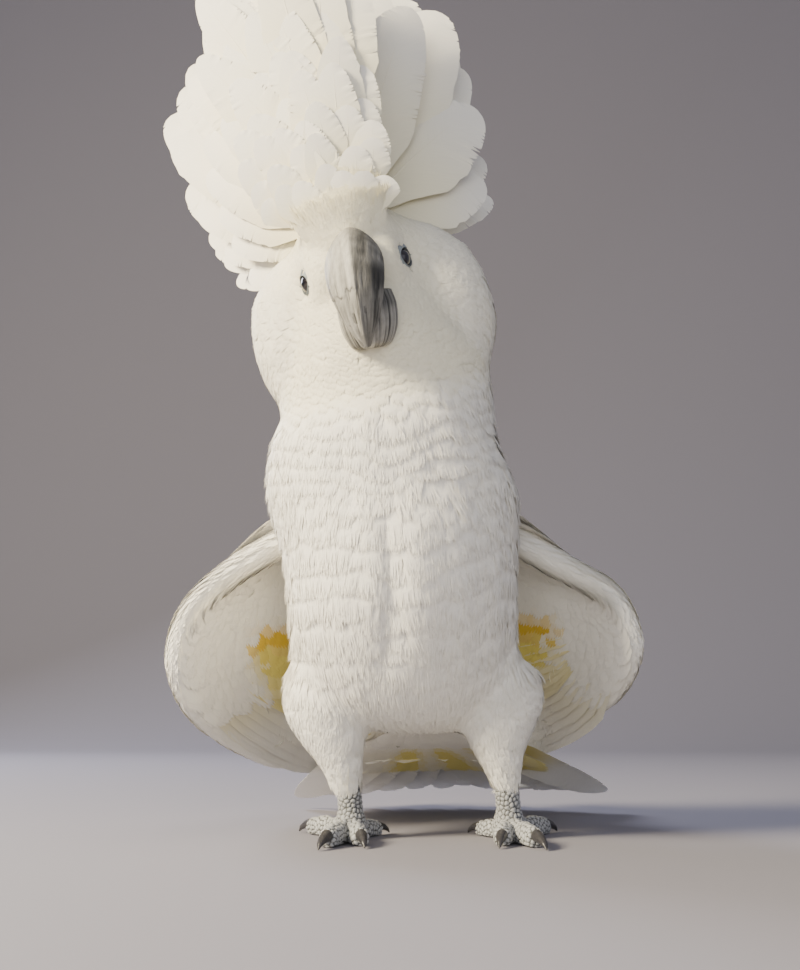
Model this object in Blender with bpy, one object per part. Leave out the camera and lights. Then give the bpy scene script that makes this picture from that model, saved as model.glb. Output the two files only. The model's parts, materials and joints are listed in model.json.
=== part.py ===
"""A white cockatoo (Cacatua alba) in life size, as a still museum model.

The bird faces -Y, its right-hand picture side is +X, and it stands on the plane z = 0.
Lengths below are in millimetres; MM turns them into metres when a mesh is made.
"""

import math
from dataclasses import dataclass, replace

import bmesh
import bpy
from mathutils import Matrix, Vector

MM = 0.001
GAP = 0.3  # clearance between parts that meet on a plane
FIT = 0.6  # clearance between parts that meet on a curved face
MIDDLE = Vector((1.55, 44.3, 0.0))  # the floor under the middle of the bird's outer box
RING = 18  # corners of a section of trunk, neck or head
SIDES = {"left": -1.0, "right": 1.0}

# ---------------------------------------------------------------- finishes: colour, roughness
DOWN_WHITE = ((0.87, 0.84, 0.77, 1.0), 0.85)
VANE_WHITE = ((0.89, 0.87, 0.81, 1.0), 0.75)
QUILL_YELLOW = ((0.80, 0.68, 0.27, 1.0), 0.75)
BILL_GREY = ((0.38, 0.38, 0.34, 1.0), 0.55)
BILL_SHADE = ((0.30, 0.30, 0.27, 1.0), 0.60)
TOE_GREY = ((0.50, 0.51, 0.49, 1.0), 0.70)
CLAW_DARK = ((0.10, 0.10, 0.10, 1.0), 0.45)
EYE_DARK = ((0.020, 0.016, 0.014, 1.0), 0.08)


# ---------------------------------------------------------------- cross-sections and paths
@dataclass(frozen=True)
class Section:
    """One level cross-section of a round part: its centre and its half sizes."""

    x: float
    y: float
    z: float
    half_width: float
    front: float
    back: float

    def ring(self, count, grow=0.0):
        """Return the points of the section, counted from +X by way of the back."""
        points = []
        for step in range(count):
            angle = 2.0 * math.pi * step / count
            depth = self.back if math.sin(angle) > 0.0 else self.front
            flat = Vector((
                (self.half_width + grow) * math.cos(angle),
                (depth + grow) * math.sin(angle),
                0.0,
            ))
            points.append(Vector((self.x, self.y, self.z)) + flat)
        return points


def spline(knots, t):
    """Return the point at t (0 to 1) on a Catmull-Rom curve through tuples of numbers."""
    last = len(knots) - 1
    place = min(max(t, 0.0), 1.0) * last
    index = min(int(place), last - 1)
    f = place - index
    before = knots[max(index - 1, 0)]
    start, end = knots[index], knots[index + 1]
    after = knots[min(index + 2, last)]
    return tuple(
        0.5 * (2.0 * b + (c - a) * f + (2.0 * a - 5.0 * b + 4.0 * c - d) * f * f
               + (3.0 * b - a - 3.0 * c + d) * f ** 3)
        for a, b, c, d in zip(before, start, end, after)
    )


def blend(sections, count):
    """Return `count` sections that run smoothly through the given ones."""
    knots = [
        (s.x, s.y, s.z, s.half_width, s.front, s.back) for s in sections
    ]
    return [Section(*spline(knots, step / (count - 1))) for step in range(count)]


# ---------------------------------------------------------------- mesh builders
def joined_rings(rings):
    """Return a closed skin through rings of equal count."""
    count = len(rings[0])
    points = [point for ring in rings for point in ring]
    faces = [tuple(reversed(range(count)))]
    for level in range(len(rings) - 1):
        low, high = level * count, (level + 1) * count
        for k in range(count):
            turn = (k + 1) % count
            faces.append((low + k, low + turn, high + turn, high + k))
    faces.append(tuple(range(len(points) - count, len(points))))
    return points, faces


def loft(sections, count, grow=0.0):
    """Return a closed skin through the sections; `grow` swells it on every side."""
    ends = list(sections)
    ends[0] = replace(ends[0], z=ends[0].z - grow)
    ends[-1] = replace(ends[-1], z=ends[-1].z + grow)
    return joined_rings([section.ring(count, grow) for section in ends])


def shell(surface, thickness, across, along):
    """Return a thin closed solid on both sides of a stretch of the surface(u, v).

    `across` and `along` each give a first place, a last place and a number of cells.
    """
    (u_start, u_end, columns), (v_start, v_end, lines) = across, along
    step = 1e-3
    stations = []
    for i in range(columns + 1):
        for j in range(lines + 1):
            u = u_start + (u_end - u_start) * i / columns
            v = v_start + (v_end - v_start) * j / lines
            du = surface(min(u + step, 1.0), v) - surface(max(u - step, 0.0), v)
            dv = surface(u, min(v + step, 1.0)) - surface(u, max(v - step, 0.0))
            stations.append((surface(u, v), du.cross(dv).normalized(), 0.5 * thickness(u, v)))
    points = [place + normal * half for place, normal, half in stations]
    points += [place - normal * half for place, normal, half in stations]
    under = len(stations)

    def at(i, j, side=0):
        return i * (lines + 1) + j + side * under

    faces = []
    for i in range(columns):
        for j in range(lines):
            corners = ((i, j), (i + 1, j), (i + 1, j + 1), (i, j + 1))
            faces.append(tuple(at(*corner) for corner in corners))
            faces.append(tuple(at(*corner, 1) for corner in reversed(corners)))
    rim = [(i, 0) for i in range(columns)] + [(columns, j) for j in range(lines)]
    rim += [(i, lines) for i in range(columns, 0, -1)] + [(0, j) for j in range(lines, 0, -1)]
    for start, end in zip(rim, rim[1:] + rim[:1]):
        faces.append((at(*end), at(*start), at(*start, 1), at(*end, 1)))
    return points, faces


def ball(centre, radii, segments, rings):
    """Return (points, faces) of an ellipsoid."""
    points = [centre - Vector((0.0, 0.0, radii[2]))]
    for ring in range(1, rings):
        polar = math.pi * ring / rings
        for step in range(segments):
            angle = 2.0 * math.pi * step / segments
            points.append(centre + Vector((
                radii[0] * math.sin(polar) * math.cos(angle),
                radii[1] * math.sin(polar) * math.sin(angle),
                -radii[2] * math.cos(polar),
            )))
    points.append(centre + Vector((0.0, 0.0, radii[2])))
    faces = []
    for step in range(segments):
        turned = (step + 1) % segments
        faces.append((0, 1 + turned, 1 + step))
        for ring in range(rings - 2):
            low = 1 + ring * segments
            faces.append((low + step, low + turned, low + segments + turned,
                          low + segments + step))
        last = 1 + (rings - 2) * segments
        faces.append((last + step, last + turned, len(points) - 1))
    return points, faces


def add_mesh(name, shape):
    """Make a mesh object, in metres, with its faces turned outward."""
    points, faces = shape
    mesh = bpy.data.meshes.new(name)
    mesh.from_pydata([(point - MIDDLE) * MM for point in points], [], faces)
    work = bmesh.new()
    work.from_mesh(mesh)
    bmesh.ops.recalc_face_normals(work, faces=work.faces)
    work.to_mesh(mesh)
    work.free()
    mesh.shade_smooth()
    thing = bpy.data.objects.new(name, mesh)
    bpy.context.collection.objects.link(thing)
    return thing


def add_part(name, finish, shape):
    """Make one visible part with its own material."""
    colour, roughness = finish
    thing = add_mesh(name, shape)
    material = bpy.data.materials.new(name)
    material.use_nodes = True
    shader = material.node_tree.nodes["Principled BSDF"]
    shader.inputs["Base Color"].default_value = colour
    shader.inputs["Roughness"].default_value = roughness
    shader.inputs["Metallic"].default_value = 0.0
    thing.data.materials.append(material)
    return thing


def cut(part, shape, operation="DIFFERENCE"):
    """Cut the shape from a part, or join the shape to it, with a Boolean modifier."""
    tool = add_mesh(f"{part.name}_tool", shape)
    tool.hide_render = True
    tool.display_type = "WIRE"
    step = part.modifiers.new(operation.title(), "BOOLEAN")
    step.operation = operation
    step.solver = "EXACT"
    step.object = tool


# ---------------------------------------------------------------- trunk and neck
NECK_BASE = Section(-3.0, -27.0, 162.0, 64.0, 54.0, 48.0)
TRUNK = (
    Section(7.0, 20.0, 50.0, 18.0, 18.0, 30.0),
    Section(6.0, 18.0, 56.0, 40.0, 38.0, 54.0),
    Section(4.0, 14.0, 70.0, 54.0, 54.0, 64.0),
    Section(2.0, 6.0, 90.0, 58.0, 64.0, 60.0),
    Section(1.0, -5.0, 112.0, 58.5, 67.0, 57.0),
    Section(0.0, -15.0, 134.0, 59.0, 64.0, 54.0),
    Section(-2.0, -22.0, 150.0, 62.0, 59.0, 51.0),
    NECK_BASE,
)


def trunk_shape(grow=0.0):
    """The breast, belly and back in one egg-shaped length."""
    return loft(blend(TRUNK, 14), RING, grow)


# ---------------------------------------------------------------- head frame
HEAD_CENTRE = Vector((-17.0, -48.0, 257.0))
HEAD_PITCH = 15.0  # the bill points this far below level
HEAD_ROLL = -14.0  # the crown leans to -X
HEAD_YAW = -6.0  # the bill turns to -X
HEAD_TURN = (
    Matrix.Rotation(math.radians(HEAD_YAW), 3, "Z")
    @ Matrix.Rotation(math.radians(HEAD_ROLL), 3, "Y")
    @ Matrix.Rotation(math.radians(HEAD_PITCH), 3, "X")
)
HEAD_BASE = -44.0  # height of the cut between neck and head, in the head's own frame


def in_head(x, y, z):
    """Return the world place of a point given in the head's own frame."""
    return HEAD_CENTRE + HEAD_TURN @ Vector((x, y, z))


def placed(shape):
    """Carry a shape from the head's own frame to the world."""
    points, faces = shape
    return [in_head(*point) for point in points], faces


HEAD = (
    Section(0.0, 2.0, HEAD_BASE, 53.0, 44.0, 44.0),
    Section(0.0, 1.0, -30.0, 47.0, 44.0, 46.0),
    Section(0.0, 0.0, -14.0, 39.0, 42.0, 47.0),
    Section(0.0, 0.0, 2.0, 32.5, 37.5, 47.0),
    Section(0.0, 0.0, 18.0, 31.0, 37.0, 44.0),
    Section(0.0, 1.0, 32.0, 28.0, 34.0, 36.0),
    Section(0.0, 2.0, 41.0, 19.0, 23.0, 25.0),
    Section(0.0, 3.0, 45.0, 8.0, 10.0, 11.0),
)


def head_shape(grow=0.0):
    """Crown, face and nape."""
    return placed(loft(blend(HEAD, 13), RING, grow))


def neck_shape():
    """The neck turns from the level trunk to the tilted head."""
    levels = blend((
        replace(NECK_BASE, z=NECK_BASE.z + GAP),
        Section(-6.0, -33.0, 180.0, 59.0, 50.0, 46.0),
        Section(-8.0, -38.0, 196.0, 55.0, 45.0, 45.0),
    ), 6)
    rings = [level.ring(RING) for level in levels]
    top = replace(HEAD[0], z=HEAD_BASE - GAP)
    rings.append([in_head(*point) for point in top.ring(RING)])
    return joined_rings(rings)


# ---------------------------------------------------------------- cheeks and eyes
CHEEK_PLACE = (29.5, 9.0, -15.0)
CHEEK_RADII = (31.0, 30.0, 47.0)
EYE_PLACE = (19.6, -21.8, 10.6)
EYE_RADIUS = 6.6


def cheek_shape(side, grow=0.0):
    """The puffed ear coverts at one side of the face, flat where they meet the neck."""
    x, y, z = CHEEK_PLACE
    radii = tuple(radius + grow for radius in CHEEK_RADII)
    points, faces = ball(Vector((side * x, y, z)), radii, 14, 10)
    for point in points:
        point.z = max(point.z, HEAD_BASE - grow)
    return placed((points, faces))


def eye_shape(side, grow=0.0):
    """One eyeball."""
    x, y, z = EYE_PLACE
    return placed(ball(Vector((side * x, y, z)), (EYE_RADIUS + grow,) * 3, 10, 6))


# ---------------------------------------------------------------- bill
BILL_AXIS = (-37.0, -4.0)  # centre of the culmen's arc in the head's frame: y and z
BILL_START = 97.0  # degrees above level ahead where the bill leaves the forehead
BILL_END = -45.0  # where its hooked tip ends
BILL_LEAN = 5.5  # degrees by which the bill hangs to its own left, turned about BILL_PIVOT
BILL_PIVOT = (1.0, 24.0)  # x and z in the head's frame
BILL_SHIFT = 2.7
# along the arc: radius of the culmen, half width, half depth
UPPER_BILL = (
    (30.0, 10.5, 13.5),
    (30.0, 11.8, 13.5),
    (30.0, 12.2, 12.5),
    (30.5, 11.6, 10.5),
    (31.5, 9.0, 7.5),
    (32.5, 5.5, 4.0),
    (33.0, 1.6, 1.2),
)
LOWER_BILL = (
    Section(0.5, -42.0, -27.0, 7.0, 7.0, 6.0),
    Section(0.5, -43.0, -25.0, 10.5, 10.0, 9.5),
    Section(0.5, -43.0, -18.0, 14.0, 12.5, 11.0),
    Section(0.5, -41.0, -9.0, 15.0, 14.0, 10.0),
    Section(0.5, -40.0, -2.0, 13.5, 12.0, 10.0),
)


def hung(shape):
    """Lean a shape of the bill and carry it from the head's own frame to the world."""
    points, faces = shape
    lean = Matrix.Rotation(math.radians(BILL_LEAN), 3, "Y")
    pivot = Vector((BILL_PIVOT[0], 0.0, BILL_PIVOT[1]))
    shift = Vector((BILL_SHIFT, 0.0, 0.0))
    return [in_head(*(pivot + shift + lean @ (Vector(point) - pivot))) for point in points], faces


def upper_bill_shape(grow=0.0, count=12, steps=10):
    """The hooked upper bill, swept round an arc in the head's middle plane."""
    rings = []
    for step in range(steps + 1):
        t = step / steps
        angle = math.radians(BILL_START + (BILL_END - BILL_START) * t)
        culmen, width, depth = spline(UPPER_BILL, t)
        outward = Vector((0.0, -math.cos(angle), math.sin(angle)))
        middle = Vector((0.0, *BILL_AXIS)) + outward * (culmen - depth)
        rings.append([
            middle
            + Vector(((width + grow) * math.cos(2.0 * math.pi * k / count), 0.0, 0.0))
            + outward * ((depth + grow) * math.sin(2.0 * math.pi * k / count))
            for k in range(count)
        ])
    return hung(joined_rings(rings))


def lower_bill_shape():
    """The scoop of the lower bill, behind and below the hook."""
    return hung(loft(blend(LOWER_BILL, 7), 12))


# ---------------------------------------------------------------- crest
CREST_WIDTH = 46.0  # degrees from the longest feather at which they have grown much shorter
CREST_LONGEST = -6.0  # degrees from upright of the longest feather


@dataclass(frozen=True)
class CrestFan:
    """A fan of raised crest feathers, spread over `spread` degrees to each side."""

    base_y: float
    base_z: float
    root: float
    lean: float
    side_length: float
    top_length: float
    spread: float
    lobes: int
    bow: float

    def surface(self, u, v):
        """Place on the fan: u goes from left to right, v from the root to the tips."""
        degrees = self.spread * (2.0 * u - 1.0)
        angle = math.radians(degrees)
        length = self.side_length + (self.top_length - self.side_length) * math.exp(
            -(((degrees - CREST_LONGEST) / CREST_WIDTH) ** 2))
        scallop = 1.0 - 0.07 * (1.0 - abs(math.sin(math.pi * self.lobes * u)))
        reach = self.root + (length * scallop - self.root) * v
        back = self.base_y + self.lean * reach + self.bow * v * v
        return in_head(reach * math.sin(angle), back, self.base_z + reach * math.cos(angle))

    @staticmethod
    def thickness(_u, v):
        """Many overlapping feathers at the root, single ones at the rim."""
        return 9.0 - 6.0 * v

    def shape(self):
        """The whole fan as one thick leaf."""
        return shell(self.surface, self.thickness, (0.0, 1.0, self.lobes * 3), (0.0, 1.0, 4))


CREST_FANS = {
    "crest_rear": CrestFan(13.0, 28.0, 16.0, 0.50, 63.0, 180.0, 104.0, 9, 10.0),
    "crest_middle": CrestFan(0.0, 30.0, 14.0, 0.34, 58.0, 152.0, 82.0, 7, 8.0),
    "crest_fore": CrestFan(-13.0, 28.0, 12.0, 0.17, 46.0, 114.0, 58.0, 5, 5.0),
}
CREST_BROW = (
    Section(0.0, -27.0, 28.0, 24.0, 13.0, 6.0),
    Section(0.0, -28.0, 42.0, 25.0, 10.0, 5.0),
    Section(0.0, -27.0, 56.0, 22.0, 7.0, 5.0),
    Section(0.0, -25.0, 68.0, 14.0, 5.0, 4.0),
    Section(0.0, -23.0, 76.0, 4.0, 2.5, 2.5),
)


# ---------------------------------------------------------------- wings
@dataclass(frozen=True)
class Wing:
    """A half-folded wing, held off the body: a bowed sheet from leading to trailing edge."""

    leading: tuple
    trailing: tuple
    bow: float

    def surface(self, u, v):
        """Place on the wing: u from shoulder to tip, v from leading to trailing edge."""
        start = Vector(spline(self.leading, u))
        end = Vector(spline(self.trailing, u))
        side = 1.0 if start.x > 0.0 else -1.0
        outward = Vector((side * 0.62, 0.55, 0.56)).normalized()
        fullness = 0.1 + 0.9 * math.sin(math.pi * min(u + 0.12, 1.0))
        swell = self.bow * 4.0 * v * (1.0 - v) * fullness
        return start.lerp(end, v) + outward * swell


LEFT_WING = Wing(
    leading=((-56.0, 6.0, 148.0), (-84.0, 0.0, 130.0), (-103.0, -8.0, 112.0),
             (-111.0, -12.0, 94.0), (-112.0, -6.0, 76.0), (-106.0, 18.0, 57.0),
             (-92.0, 62.0, 42.0), (-73.0, 110.0, 31.0), (-54.0, 156.0, 27.0),
             (-38.0, 194.0, 24.0)),
    trailing=((-32.0, 36.0, 157.0), (-26.0, 52.0, 146.0), (-22.0, 66.0, 128.0),
              (-19.0, 80.0, 112.0), (-17.0, 96.0, 96.0), (-16.0, 116.0, 79.0),
              (-16.0, 138.0, 63.0), (-18.0, 162.0, 48.0), (-22.0, 184.0, 39.0),
              (-30.0, 202.0, 30.0)),
    bow=14.0,
)
RIGHT_WING = Wing(
    leading=((56.0, 6.0, 148.0), (84.0, 0.0, 131.0), (106.0, -8.0, 117.0),
             (115.0, -12.0, 100.0), (117.0, -6.0, 84.0), (112.0, 18.0, 68.0),
             (100.0, 62.0, 56.0), (84.0, 110.0, 47.0), (68.0, 154.0, 40.0),
             (54.0, 190.0, 34.0)),
    trailing=((32.0, 36.0, 157.0), (26.0, 52.0, 146.0), (22.0, 66.0, 131.0),
              (20.0, 80.0, 116.0), (19.0, 96.0, 101.0), (20.0, 116.0, 86.0),
              (24.0, 138.0, 72.0), (30.0, 160.0, 60.0), (37.0, 180.0, 50.0),
              (46.0, 197.0, 40.0)),
    bow=14.0,
)
WINGS = {"left": LEFT_WING, "right": RIGHT_WING}

WRIST_U = 0.40
TIPS_U = 0.72
COVERT_V = 0.40
CUT = 0.016  # share of the wing left open between two of its parts
WING_PARTS = {
    "arm_coverts": ((0.0, WRIST_U, 7), (0.0, COVERT_V, 5), DOWN_WHITE),
    "secondaries": ((0.0, WRIST_U, 7), (COVERT_V + CUT, 1.0, 5), QUILL_YELLOW),
    "hand_coverts": ((WRIST_U + CUT, TIPS_U, 6), (0.0, COVERT_V, 5), DOWN_WHITE),
    "primaries": ((WRIST_U + CUT, TIPS_U, 6), (COVERT_V + CUT, 1.0, 5), QUILL_YELLOW),
    "tips": ((TIPS_U + CUT, 1.0, 6), (0.0, 1.0, 6), VANE_WHITE),
}


def wing_thickness(u, v):
    """The arm is thick along the leading edge, the quills are thin at the trailing edge."""
    arm = 12.0 - 7.0 * u
    return 2.0 + (arm - 2.0) * max(1.0 - 1.6 * v, 0.0) ** 0.7 + 2.0 * (1.0 - u) * (1.0 - v)


# ---------------------------------------------------------------- tail
TAIL_ROOT = Vector((12.0, 64.0, 58.0))
TAIL_LENGTH = 148.0
TAIL_LEFT = -30.0
TAIL_RIGHT = 50.0
TAIL_SLOPE = 21.0
TAIL_ROOT_WIDTH = 34.0
TAIL_FEATHERS = 6


def tail_surface(u, v):
    """Place on the fanned tail: u from left to right, v from the root to the tips."""
    angle = math.radians(TAIL_LEFT + (TAIL_RIGHT - TAIL_LEFT) * u)
    scallop = 1.0 - 0.05 * v ** 4 * (1.0 - abs(math.sin(math.pi * TAIL_FEATHERS * u)))
    reach = TAIL_LENGTH * v * scallop
    drop = math.radians(TAIL_SLOPE)
    arch = 5.0 * math.sin(math.pi * u) * v
    return TAIL_ROOT + Vector((
        TAIL_ROOT_WIDTH * (u - 0.5) + reach * math.sin(angle) * math.cos(drop),
        reach * math.cos(angle) * math.cos(drop),
        arch - reach * math.sin(drop) * (0.55 + 0.45 * math.cos(angle)),
    ))


def tail_thickness(_u, v):
    """Thick soft coverts at the root, single quills at the tips."""
    return 2.0 + 16.0 * (1.0 - v) ** 2.2


# ---------------------------------------------------------------- legs
THIGHS = {
    "left": (
        Section(-33.0, 4.0, 84.0, 22.0, 24.0, 24.0),
        Section(-37.0, 1.0, 68.0, 22.0, 22.0, 24.0),
        Section(-36.0, 0.0, 54.0, 19.0, 18.0, 20.0),
        Section(-31.0, 1.0, 40.0, 13.0, 13.0, 15.0),
        Section(-25.0, 3.0, 26.0, 8.0, 8.5, 9.5),
    ),
    "right": (
        Section(46.0, 4.0, 84.0, 22.0, 24.0, 24.0),
        Section(51.0, 1.0, 68.0, 21.5, 22.0, 24.0),
        Section(49.0, 0.0, 54.0, 17.5, 18.0, 20.0),
        Section(48.5, 1.0, 40.0, 12.0, 13.0, 15.0),
        Section(52.0, 3.0, 26.0, 7.5, 8.5, 9.5),
    ),
}
FOOT_PLACE = {"left": Vector((-24.0, 4.0, 0.0)), "right": Vector((53.0, 4.0, 0.0))}
SOLE_HEIGHT = 13.0
TARSUS_RADIUS = 5.6


@dataclass(frozen=True)
class Toe:
    """One toe that lies on the floor, with its claw."""

    aim: float  # degrees from straight ahead, to the bird's outer side
    length: float
    radius: float
    claw: float


TOES = {
    "front_inner": Toe(-11.0, 31.0, 4.6, 12.0),
    "front_outer": Toe(14.0, 38.0, 4.8, 13.0),
    "back_outer": Toe(142.0, 33.0, 4.6, 12.0),
    "back_inner": Toe(-147.0, 23.0, 4.0, 11.0),
}


def toe_direction(side, toe):
    """Unit vector along a toe."""
    aim = math.radians(toe.aim)
    return Vector((SIDES[side] * math.sin(aim), -math.cos(aim), 0.0))


def floor_ring(middle, along, radius, height, count=8):
    """Points of a toe's section: round above, flat where it lies on the floor."""
    across = along.cross(Vector((0.0, 0.0, 1.0))).normalized()
    points = []
    for k in range(count):
        angle = 2.0 * math.pi * k / count
        rise = max(height * (0.5 + 0.62 * math.sin(angle)), 0.0)
        points.append(middle + across * (radius * math.cos(angle)) + Vector((0.0, 0.0, rise)))
    return points


def toe_shape(side, toe):
    """A toe from the middle of the foot to the root of its claw."""
    along = toe_direction(side, toe)
    rings = []
    for t, share in ((0.0, 0.95), (0.3, 1.02), (0.45, 0.9), (0.62, 1.0), (1.0, 0.82)):
        middle = FOOT_PLACE[side] + along * (toe.length * t)
        rings.append(floor_ring(middle, along, toe.radius * share, toe.radius * 1.9 * share))
    return joined_rings(rings)


def claw_shape(side, toe):
    """A curved claw that starts just beyond its toe and touches the floor with its tip."""
    along = toe_direction(side, toe)
    rings = []
    for t in (0.0, 0.35, 0.7, 1.0):
        reach = toe.length + GAP + toe.claw * math.sin(1.35 * t) / math.sin(1.35)
        share = 0.70 * (1.0 - t) ** 0.8 + 0.12
        lift = toe.radius * 0.62 * (1.0 - t * t)
        middle = FOOT_PLACE[side] + along * reach + Vector((0.0, 0.0, lift))
        rings.append(floor_ring(middle, along, toe.radius * share * 0.8, toe.radius * 1.3 * share))
    return joined_rings(rings)


def sole_shape(side):
    """The round middle of the foot, flat below and flat above for the shank."""
    centre = FOOT_PLACE[side]
    levels = ((0.0, 5.5), (2.0, 7.4), (6.0, 7.8), (10.0, 6.8), (SOLE_HEIGHT, TARSUS_RADIUS + 0.4))
    return loft([
        Section(centre.x, centre.y, z, radius, radius, radius + 0.6) for z, radius in levels
    ], 10)


def tarsus_shape(side):
    """The bare shank between the foot and the feathered thigh."""
    top = THIGHS[side][-1]
    centre = FOOT_PLACE[side]
    low = Section(centre.x, centre.y, SOLE_HEIGHT + GAP, TARSUS_RADIUS, 5.6, 6.4)
    high = Section(top.x, top.y, top.z - GAP, TARSUS_RADIUS, 5.8, 6.6)
    return loft((low, high), 10)


# ---------------------------------------------------------------- assembly
def clear_scene():
    """Remove every object from the scene."""
    for thing in list(bpy.data.objects):
        bpy.data.objects.remove(thing, do_unlink=True)


def build_body():
    """Trunk, neck, head and cheeks."""
    add_part("trunk", DOWN_WHITE, trunk_shape())
    add_part("neck", DOWN_WHITE, neck_shape())
    head = add_part("head", DOWN_WHITE, head_shape())
    for name, side in SIDES.items():
        cut(head, eye_shape(side, GAP))
        cheek = add_part(f"cheek_{name}", DOWN_WHITE, cheek_shape(side))
        cut(cheek, head_shape(FIT))
        add_part(f"eye_{name}", EYE_DARK, eye_shape(side))


def build_bill():
    """Both halves of the bill, set against the face."""
    upper = add_part("bill_upper", BILL_GREY, upper_bill_shape())
    cut(upper, head_shape(FIT))
    lower = add_part("bill_lower", BILL_SHADE, lower_bill_shape())
    cut(lower, head_shape(FIT))
    cut(lower, upper_bill_shape(FIT))


def build_crest():
    """The raised crest: three fans behind each other and the short feathers of the brow."""
    for name, fan in CREST_FANS.items():
        feathers = add_part(name, VANE_WHITE, fan.shape())
        cut(feathers, head_shape(FIT))
        if name == "crest_rear":
            for side in SIDES.values():
                cut(feathers, cheek_shape(side, FIT))
    brow = add_part("crest_brow", VANE_WHITE, placed(loft(blend(CREST_BROW, 7), 14)))
    cut(brow, head_shape(FIT))


def build_wings():
    """Each wing in five named parts."""
    for name, wing in WINGS.items():
        for part, (across, along, finish) in WING_PARTS.items():
            piece = add_part(f"wing_{name}_{part}", finish,
                             shell(wing.surface, wing_thickness, across, along))
            if part in ("arm_coverts", "secondaries"):
                cut(piece, trunk_shape(FIT))


def build_tail():
    """The tail's covert base and its fan of quills."""
    base = add_part("tail_coverts", DOWN_WHITE,
                    shell(tail_surface, tail_thickness, (0.0, 1.0, 10), (0.0, 0.38, 4)))
    cut(base, trunk_shape(FIT))
    add_part("tail_quills", VANE_WHITE,
             shell(tail_surface, tail_thickness, (0.0, 1.0, TAIL_FEATHERS * 3), (0.383, 1.0, 5)))


def build_legs():
    """Thigh, shank, foot and claws of each leg."""
    for name in SIDES:
        thigh = add_part(f"thigh_{name}", DOWN_WHITE, loft(list(reversed(blend(THIGHS[name], 8))), 14))
        cut(thigh, trunk_shape(FIT))
        add_part(f"shank_{name}", TOE_GREY, tarsus_shape(name))
        foot = add_part(f"foot_{name}", TOE_GREY, sole_shape(name))
        for toe_name, toe in TOES.items():
            cut(foot, toe_shape(name, toe), "UNION")
            add_part(f"claw_{name}_{toe_name}", CLAW_DARK, claw_shape(name, toe))


def main():
    """Build the whole bird."""
    clear_scene()
    build_body()
    build_bill()
    build_crest()
    build_wings()
    build_tail()
    build_legs()


main()
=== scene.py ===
"""Looks of a life-size white cockatoo with its crest raised: skin, plumage, bill, eyes and feet.

Shapes are worked out in millimetres in a working space whose origin lies on the floor between the
feet, X to the bird's left, Y to its back, Z up. Meshes are written in metres in the model's frame.
"""

import json
import logging
import math
from collections.abc import Callable
from dataclasses import dataclass, replace
from enum import Enum

import bmesh
import bpy
import numpy as np
from mathutils import Matrix, Vector
from mathutils.bvhtree import BVHTree
from mathutils.kdtree import KDTree

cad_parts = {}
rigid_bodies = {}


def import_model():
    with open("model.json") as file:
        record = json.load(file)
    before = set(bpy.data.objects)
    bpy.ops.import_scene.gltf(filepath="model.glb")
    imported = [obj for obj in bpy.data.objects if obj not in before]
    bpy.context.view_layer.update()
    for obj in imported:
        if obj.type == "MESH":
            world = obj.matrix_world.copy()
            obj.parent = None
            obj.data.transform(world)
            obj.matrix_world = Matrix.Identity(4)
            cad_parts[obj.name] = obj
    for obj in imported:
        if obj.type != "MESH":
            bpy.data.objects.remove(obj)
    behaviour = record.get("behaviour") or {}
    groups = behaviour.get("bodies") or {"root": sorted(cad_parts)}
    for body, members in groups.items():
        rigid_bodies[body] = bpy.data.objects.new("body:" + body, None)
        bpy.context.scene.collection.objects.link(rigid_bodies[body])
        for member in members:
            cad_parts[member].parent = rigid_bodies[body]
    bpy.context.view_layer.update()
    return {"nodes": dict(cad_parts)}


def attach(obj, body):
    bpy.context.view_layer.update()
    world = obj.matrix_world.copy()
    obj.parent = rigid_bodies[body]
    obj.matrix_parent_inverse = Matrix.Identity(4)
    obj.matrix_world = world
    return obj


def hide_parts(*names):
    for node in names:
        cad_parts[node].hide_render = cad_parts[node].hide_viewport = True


LOG = logging.getLogger("cockatoo")

MM = 0.001
MIDDLE = np.array((1.55, 44.3, 0.0))  # middle of the model's box in working space, mm
SEED = 1980
PIECE_TRIANGLES = 190_000
BAKE_MAP = "OFBake"
BAKE_PATCH = 0.003  # share of the bake map that one small feather takes
VANE_MAP = "Vane"  # across and along each feather, mm
TINT = "Tint"

SIDES = {"left": -1.0, "right": 1.0}

Array = np.ndarray
Chance = np.random.Generator
Paint = Callable[[Array, Array], Array]  # colours from places along and across
Fan = tuple[tuple[float, float, float], ...]


# ---- small mathematics
def metres(points: Array) -> Array:
    """Working millimetres to metres in the model's frame."""
    return (np.asarray(points, float) - MIDDLE) * MM


def unit(vectors: Array) -> Array:
    """Vectors scaled to length one."""
    return vectors / np.maximum(np.linalg.norm(vectors, axis=-1, keepdims=True), 1e-9)


def smooth_step(low: float, high: float, value: Array) -> Array:
    """Zero below low, one above high, a smooth ramp between."""
    t = np.clip((value - low) / (high - low), 0.0, 1.0)
    return t * t * (3.0 - 2.0 * t)


def band(low: float, full: float, fade: float, high: float, value: Array) -> Array:
    """One between full and fade, zero below low and above high, with smooth ramps between."""
    return smooth_step(low, full, value) * (1.0 - smooth_step(fade, high, value))


def spread(*axes: Array) -> Array:
    """Arrays brought to one shape and stacked as the last axis."""
    return np.stack(np.broadcast_arrays(*axes), -1)


def strewn(rng: Chance, first: Array, second: Array,
           jitter: tuple[float, float]) -> list[Array]:
    """Two flat lists of places on a grid, each strewn at random by its jitter."""
    grids = np.meshgrid(first, second, indexing="ij")
    return [(grid + rng.normal(0, size, grid.shape)).ravel() for grid, size in zip(grids, jitter)]


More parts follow.
